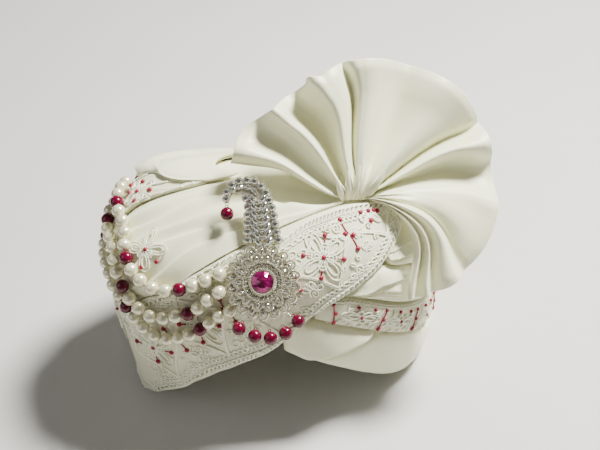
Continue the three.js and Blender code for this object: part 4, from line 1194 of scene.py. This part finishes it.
def fan_knot():
    axis = body_normal(KNOT_TURN, KNOT_U)
    side = unit(np.cross((0, 0, 1), axis))
    other = np.cross(axis, side)
    seat = over(KNOT_TURN, KNOT_U, GAP)
    a = np.linspace(0, 2 * math.pi, 161)[:-1][None, :]
    up = np.linspace(0, 1, 22)[:, None]
    radius = KNOT_RADIUS * hermite(up, [0, 0.3, 0.7, 1], [0.85, 0.95, 0.7, 0.4])
    radius = radius * (1 + 0.09 * np.abs(np.sin(a * 11 + up * 1.8)) - 0.05)
    height = FAN_LIFT - GAP - 2.6
    loops = (seat + axis * (up * height + 0 * a)[..., None]
             + side * (radius * np.cos(a))[..., None] + other * (radius * np.sin(a))[..., None])
    build = Build()
    loops_body(build, loops)
    root_pleats(build)
    made = build.piece("fan_knot_cloth", [SATIN], "ivory_satin", ["fan_knot"], sharp=70)


fan_knot()
fan()


# Pearl strands

STRAND_LIFT = BAND_STANDOFF + BAND_THICK + BRAID_RISE + 0.5
STRANDS = [
    {"name": "pearl_strand_1", "between": 4,
     "path": [(45, 1.31), (39.5, 1.236), (32, 1.161), (25, 1.131), (19.5, 1.146), (12, 1.185),
              (3.5, 1.245), (-5, 1.3), (-14, 1.34), (-25, 1.35), (-36, 1.32), (-43, 1.27)]},
    {"name": "pearl_strand_2", "between": 5,
     "path": [(46, 1.2), (41.5, 1.12), (36, 1.0), (30.5, 0.95), (24, 0.915), (18, 0.935), (12, 1.0),
              (5, 1.1), (-3.5, 1.18), (-13, 1.21), (-24, 1.2), (-34, 1.19), (-42, 1.18)]},
    {"name": "pearl_strand_3", "between": 6,
     "path": [(49.5, 1.07), (44.5, 0.99), (38.5, 0.87), (33, 0.805), (27, 0.77), (21.5, 0.79),
              (16, 0.84), (9, 0.925), (0, 1.005), (-9, 1.055), (-20, 1.06), (-32, 1.05), (-42, 1.03)]},
]


def strand(spec):
    path = np.array(spec["path"], float)
    keys = np.arange(len(path))
    s = np.linspace(0, keys[-1], 601)
    turn, u = hermite(s, keys, path[:, 0]), hermite(s, keys, path[:, 1])
    pattern = "PPPM" + "P" * spec["between"] + "M" + "P" * spec["between"] + "MPPP"

    def measured(radius):
        line = over(turn, u, np.full_like(turn, STRAND_LIFT + radius))
        run = np.concatenate([[0], np.cumsum(np.linalg.norm(np.diff(line, axis=0), axis=-1))])
        return line, run

    radius = measured(PEARL_RADIUS)[1][-1] / len(pattern) / 2 * PEARL_FILL
    line, run = measured(radius)
    build = Build()
    at = (np.arange(len(pattern)) + 0.5) / len(pattern) * run[-1]
    centres = np.stack([np.interp(at, run, line[:, k]) for k in range(3)], 1)
    ahead = np.stack([np.interp(at + 1, run, line[:, k]) for k in range(3)], 1)
    for k, kind in enumerate(pattern):
        jitter = rng.normal(0, 0.12, 3)
        ball(build, centres[k] + jitter, radius * 1.015, 0 if kind == "P" else 1, 20, 13, 1.0,
             ahead[k] - centres[k])
    tube(build, line[::3], body_normal(turn, u)[::3], 0.45, 6, 1.0, 2)
    build.piece(spec["name"] + "_beads", [PEARL, BEAD, CORD], "pearl", [spec["name"]])


for spec in STRANDS:
    strand(spec)


# Jewel, in its own frame on the left band

seat_normal = body_normal(JEWEL_TURN, JEWEL_U)
jewel_right = unit(np.cross((0, 0, 1), seat_normal))
jewel_lean = Matrix.Rotation(-JEWEL_TILT * RAD, 3, Vector(jewel_right))
jewel_out = np.array(jewel_lean @ Vector(seat_normal))
jewel_up = np.cross(jewel_out, jewel_right)
JEWEL_AXES = np.stack([jewel_right, jewel_up, jewel_out])
JEWEL_SEAT = over(JEWEL_TURN, JEWEL_U, JEWEL_LIFT)


class JewelBuild(Build):
    """As Build, with its points given in a frame of their own."""

    def __init__(self, axes=JEWEL_AXES, seat=JEWEL_SEAT):
        super().__init__()
        self.axes, self.seat = axes, seat

    def add(self, points, faces, uv=None, mat=0):
        local = np.asarray(points, float).reshape(-1, 3)
        super().add(local @ self.axes + self.seat, faces, uv, mat)


UP = np.array([0.0, 0.0, 1.0])


def stone(build, x, y, z, half_long, half_wide, height, turn=0.0, facets=8, table=0.5, mat=1):
    """A cut stone: girdle, two rows of crown facets and a table, seen from above."""
    a = (np.arange(facets) + 0.5) * 2 * math.pi / facets
    b = np.arange(facets) * 2 * math.pi / facets
    point = 1.0 if half_long == half_wide else 0.8
    # Angles, size share and height share of each row of corners, from below
    levels = [(a, 0.82, -0.6), (a, 1.0, 0.0), (b, (1 + table) / 2, 0.62), (b, table, 1.0)]
    rings = []
    for angles, share, climb in levels:
        px = half_long * share * np.sign(np.cos(angles)) * np.abs(np.cos(angles)) ** point
        py = half_wide * share * np.sin(angles)
        flat = rotate(np.stack([px, py], 1), turn)
        rings.append(np.concatenate([flat + (x, y), np.full((facets, 1), z + height * climb)], 1))
    build.add(np.concatenate(rings), np.stack(ring_cells(1, facets), 1), mat=mat)
    i = np.arange(facets)
    j = (i + 1) % facets
    start = build.count - 4 * facets
    girdle, crown_row, top = facets, 2 * facets, 3 * facets
    inner, last = i[1:-1], i[2:]
    # Alternate facets and the table take the next material, the darker copy: painted dark reflection that
    # stands in for sparkle.
    rows = [
        ([girdle + i, girdle + j, crown_row + j], mat + i % 2),
        ([girdle + i, crown_row + j, crown_row + i], mat + 0 * i),
        ([crown_row + i, crown_row + j, top + j], mat + (i + 1) % 2),
        ([crown_row + i, top + j, top + i], mat + i % 2),
        ([top + 0 * last, top + inner, top + last], mat + 1 + 0 * last),
        ([0 * last, last, inner], mat + 0 * last),
    ]
    for corners, numbers in rows:
        build.faces.append(np.stack(corners, 1) + start)
        build.mats.append(numbers)


def ring(build, x, y, z, half_long, half_wide, wire, turn=0.0, n=20, sides=5):
    """A closed ring of wire, round or drawn out."""
    a = np.linspace(0, 2 * math.pi, n, endpoint=False)
    flat = rotate(oval(half_long, half_wide, a), turn) + (x, y)
    tube(build, np.concatenate([flat, np.full((n, 1), z)], 1), UP, wire, sides, closed=True)


def circle(count, radius, offset=0.0):
    """Evenly spaced places round the middle, the first at an offset in steps."""
    turns = [(k + offset) * 2 * math.pi / count for k in range(count)]
    return [(radius * math.cos(a), radius * math.sin(a)) for a in turns]


def beads(build, count, radius, z, size):
    """A ring of small beads round the middle."""
    for x, y in circle(count, radius):
        ball(build, (x, y, z), size, 0, 6, 5)


def set_round(build, x, y, z, r):
    stone(build, x, y, z + 0.5, r * 0.92, r * 0.92, r * 0.5, 0, 8, 0.5)
    ring(build, x, y, z + 0.35, r, r, 0.34, 0, 16)
    for across, up in circle(4, r * 0.86, 0.5):
        ball(build, (x + across, y + up, z + 0.85), 0.34, 0, 6, 5)


def set_marquise(build, x, y, z, half_long, half_wide, turn):
    stone(build, x, y, z + 0.4, half_long * 0.92, half_wide * 0.9, half_wide * 0.6, turn, 8, 0.42)
    ring(build, x, y, z + 0.25, half_long, half_wide, 0.3, turn, 18)


def petal_wire(build, inner, outer, width, turn, z, wire):
    """A loop of wire that starts and ends at the inner radius and rises in between."""
    t = np.linspace(0, 2 * math.pi, 22)
    x = inner + (outer - inner) * (1 - np.cos(t)) / 2
    y = 0.56 * width * np.sin(t) * np.abs(np.sin(t / 2)) ** 0.35
    flat = rotate(np.stack([x, y], 1), turn)
    rise = z + 0.9 * np.sin(t / 2)
    tube(build, np.concatenate([flat, rise[:, None]], 1), UP, wire, 6)


# Stones of the stem's two edges: x, y and radius
STEM_OUTER = [(-23.6, 57.4, 2.2), (-23.2, 62.3, 2.3), (-19.6, 66.8, 2.4), (-14.6, 69.4, 2.4),
              (-9.2, 70, 2.4), (-4, 69.2, 2.4), (0.4, 65.8, 2.5), (3.6, 61.2, 2.5), (5.8, 56, 2.5),
              (7.4, 50.6, 2.5), (8.6, 45, 2.5), (9.4, 39.4, 2.5), (10.4, 33.8, 2.5), (11.6, 28.4, 2.5)]
STEM_INNER = [(-10.2, 57.6, 2.3), (-8.9, 52, 2.4), (-9.2, 46.2, 2.4), (-9.4, 40.4, 2.4),
              (-9.4, 34.6, 2.4), (-9.6, 28.8, 2.4)]
# Petal rows of the rosette: how many, offset in steps, wire from and to, width, height and wire size,
# then each petal's stone: its place, height, half length and half width
PETAL_ROWS = [(18, 0.5, 14, ROSETTE_RADIUS + 0.6, 6.6, 1.4, 0.8, 20.6, 1.9, 2.9, 1.45),
              (14, 0, 10, 19.6, 6.4, 2.8, 0.72, 16.2, 3.4, 2.3, 1.2)]
# Edge of the hook's opening
HOOK_INSIDE = [(-12.4, 59.5), (-15.2, 61.8), (-18.4, 62), (-20.2, 60), (-20.8, 57.2)]
# Long stones at the stem's top: x, y, half length, half width and turn
STEM_LEAVES = [(-13.8, 65.6, 2.6, 1.4, 20), (-8.6, 65.4, 2.6, 1.4, -10), (-4.4, 62.6, 3.0, 1.5, -50),
               (-18.4, 63.8, 2.2, 1.2, 60)]


BACKPLATE_RADIUS = 21.2
# The raised collar round the centre stone, and the circle of small stones on it
COLLAR_RADIUS = 13.4
SMALL_STONE_CIRCLE = 11.2


def plate(build, outline, low, high, mat=0):
    """A flat plate with the given outline."""
    n = len(outline)
    outline = np.asarray(outline, float)
    points = np.concatenate([np.concatenate([outline, np.full((n, 1), z)], 1) for z in (low, high)])
    i = np.arange(n)
    j = (i + 1) % n
    build.add(points, np.stack(ring_cells(1, n), 1), mat=mat)
    start = build.count - 2 * n
    area = np.sum(outline[i, 0] * outline[j, 1] - outline[j, 0] * outline[i, 1])
    order = i if area > 0 else i[::-1]
    build.faces.append(Ngon(order + n + start))
    build.faces.append(Ngon(order[::-1] + start))
    build.mats.append(np.full(2, mat))


class Ngon:
    """One face of many corners, listed as a group of its own."""

    def __init__(self, corners):
        self.corners = corners

    def tolist(self):
        return [self.corners.tolist()]


def jewel():
    build = JewelBuild()
    t = np.linspace(0, 2 * math.pi, 120, endpoint=False)
    r = BACKPLATE_RADIUS + 0.9 * np.cos(PETAL_ROWS[0][0] * t)
    # Material 3 on the plates is the dark metal, painted shade of the openwork.
    plate(build, oval(r, r, t), 0, 1.0, 3)
    outline = [(x, y) for x, y, _ in [*STEM_OUTER, *STEM_INNER[::-1]]] + HOOK_INSIDE
    plate(build, outline, 0, 1.0, 3)
    for x, y, radius in [*STEM_OUTER, *STEM_INNER]:
        set_round(build, x, y, 1.2, radius + 0.3)
    for x, y, long, wide, turn in STEM_LEAVES:
        set_marquise(build, x, y, 1.6, long, wide, turn)
    for row in range(7):
        y = 57 - 4.9 * row
        middle = -2.3 + 0.55 * row
        for side in (-1, 1):
            set_marquise(build, middle + 3.8 * side, y, 1.8, 3.9, 2.2, 90 - 36 * side)
        set_round(build, middle, y - 2.5, 2.6, 1.3)
    for count, offset, inner, outer, width, z, wire, place, lift, half_long, half_wide in PETAL_ROWS:
        for k in range(count):
            turn = (k + offset) * 360 / count
            petal_wire(build, inner, outer, width, turn, z, wire)
            c, s = math.cos(turn * RAD), math.sin(turn * RAD)
            set_marquise(build, place * c, place * s, lift, half_long, half_wide, turn)
    ring(build, 0, 0, 2.2, 15.4, 15.4, 0.7, 0, 64)
    plate(build, oval(COLLAR_RADIUS - 0.2, COLLAR_RADIUS - 0.2, t), 1.0, 3.2, 3)
    ring(build, 0, 0, 4.0, COLLAR_RADIUS, COLLAR_RADIUS, 0.75, 0, 64, 6)
    beads(build, 44, COLLAR_RADIUS, 4.7, 0.5)
    for x, y in circle(24, SMALL_STONE_CIRCLE):
        stone(build, x, y, 3.9, 1.15, 1.15, 0.8, 0, 8, 0.5)
        ring(build, x, y, 3.7, 1.3, 1.3, 0.22, 0, 10, 4)
    ring(build, 0, 0, 4.6, 9.2, 9.2, 0.5, 0, 48)
    ring(build, 0, 0, 5.4, 8.1, 8.1, 0.5, 0, 48)
    beads(build, 30, 8.7, 5.5, 0.55)
    build.piece("jewel_setting", [SILVER, CLEAR, CLEAR_DARK_REFLECTION, PLATE_PAINTED_SHADE], "silver_and_stones", ["jewel"], sharp=28)
    build = JewelBuild()
    stone(build, 0, 0, 5.6, STONE_RADIUS, STONE_RADIUS, 2.9, 0, 16, 0.2, 0)
    build.piece("jewel_centre_stone", [GEM, GEM_DARK_REFLECTION], "magenta_stone", ["centre_stone"], sharp=5)


DROPS = [
    {"name": "drop_bead_1", "x": -16.6, "y": -31, "wire": 5.3},
    {"name": "drop_bead_2", "x": -6, "y": -36.4, "wire": 8},
    {"name": "drop_bead_3", "x": 4.6, "y": -38, "wire": 8.4},
    {"name": "drop_bead_4", "x": 15, "y": -34.8, "wire": 8},
    {"name": "drop_bead_5", "x": 23.6, "y": -27, "wire": 7.3},
    {"name": "hook_bead", "x": -23.3, "y": 47.5, "wire": 2.9},
]
DROP_OUT = 0.8


def drop(spec):
    build = JewelBuild()
    x, y = spec["x"], spec["y"]
    inward = np.array([0.0, 1.0]) if y > 0 else -np.array([x, y]) / math.hypot(x, y)
    across = np.array([-inward[1], inward[0]])
    centre = np.array([x, y])
    ball(build, (x, y, DROP_OUT), DROP_RADIUS, 0, 28, 17, 1.0, (*inward, 0))
    top = centre + inward * (DROP_RADIUS - 0.1)
    ring(build, *(top + inward * 0.5), DROP_OUT, 0.9, 0.9, 0.3, 0, 12)
    for side in (-1, 1):
        a = top + inward * 0.9 + across * side * 0.4
        b = top + inward * spec["wire"] + across * side * min(2.2, spec["wire"] * 0.4)
        flat = bow(a, b, 0.5 * side, 8)
        path = np.concatenate([flat, np.linspace(DROP_OUT, DROP_OUT + 0.3, 8)[:, None]], 1)
        tube(build, path, UP, 0.28, 5, mat=1)
    build.piece(spec["name"] + "_glass", [BEAD, SILVER], "magenta_bead", [spec["name"]])


def clasp():
    out = body_normal(-46.5, 1.19)
    right = unit(np.cross((0, 0, 1), out))
    seat = over(-46.5, 1.19, RIGHT_STANDOFF + BAND_THICK + BRAID_RISE - 1.2)
    build = JewelBuild(np.stack([right, np.cross(out, right), out]), seat)
    plate(build, [(-4, -14), (2, -14), (3, 0), (2, 14), (-4, 14), (-3, 0)], 0, 1.6)
    for y in (-10, -3.3, 3.3, 10):
        set_round(build, -0.8, y, 1.5, 2.7)
    build.piece("far_clasp_setting", [SILVER, CLEAR, CLEAR_DARK_REFLECTION], "silver_and_stones", ["far_clasp"], sharp=28)


jewel()
for spec in DROPS:
    drop(spec)
clasp()


# Floor, light and camera

def stage_material():
    s = Shader("pale_floor", Roughness=0.6)
    s.colour(s.ramp(s.noise(3, 2), [(0.2, (0.56, 0.55, 0.54)), (0.8, (0.60, 0.59, 0.58))]))
    return s.material


bpy.ops.mesh.primitive_plane_add(size=40, location=(0, 0, 0))
floor = bpy.context.object
floor.name = "floor"
floor.data.materials.append(stage_material())

AZIMUTH, ELEVATION, DISTANCE = 58 * RAD, 38 * RAD, 0.8
LOOK_AT = (np.array([-45.98, 30.68, 64.88]) + SHIFT) / 1000
PHOTO_WIDTH, FOCAL_PIXELS = 600, 919.5
SENSOR_WIDTH = 36
LAMP_DISTANCE = 1.6
view_right = np.array([math.cos(AZIMUTH), math.sin(AZIMUTH), 0])
view_up = np.array([
    -math.sin(AZIMUTH) * math.sin(ELEVATION), math.cos(AZIMUTH) * math.sin(ELEVATION), math.cos(ELEVATION)])
view_back = np.cross(view_right, view_up)

camera = bpy.data.objects.new("camera", bpy.data.cameras.new("camera"))
bpy.context.scene.collection.objects.link(camera)
camera.data.sensor_width = SENSOR_WIDTH
camera.data.lens = SENSOR_WIDTH * FOCAL_PIXELS / PHOTO_WIDTH
camera.data.clip_start = 0.05
camera_axes = Matrix((view_right, view_up, view_back)).transposed().to_4x4()
camera.matrix_world = Matrix.Translation(LOOK_AT + view_back * DISTANCE) @ camera_axes
bpy.context.scene.camera = camera


def lamp(name, across, up, back, size, power, colour=(1, 1, 1)):
    """An area light placed by its direction from the object, as the camera sees it."""
    way = unit(view_right * across + view_up * up + view_back * back)
    made = bpy.data.objects.new(name, bpy.data.lights.new(name, "AREA"))
    made.data.shape = "DISK"
    made.data.size = size
    made.data.energy = power
    made.data.color = colour
    made.location = LOOK_AT + way * LAMP_DISTANCE
    made.rotation_mode = "QUATERNION"
    made.rotation_quaternion = Vector(way).to_track_quat("Z", "Y")
    bpy.context.scene.collection.objects.link(made)


lamp("key", 0.5, 0.95, 0.5, 0.4, 104, (1, 0.99, 0.91))
lamp("fill", -0.9, 0.2, 0.7, 1.2, 4, (0.97, 0.98, 1))
lamp("rim", 0.9, 0.3, -0.3, 0.6, 7)

world = bpy.data.worlds.new("studio")
world.use_nodes = True
world.node_tree.nodes["Background"].inputs["Color"].default_value = (0.86, 0.84, 0.78, 1)
world.node_tree.nodes["Background"].inputs["Strength"].default_value = 0.17
bpy.context.scene.world = world
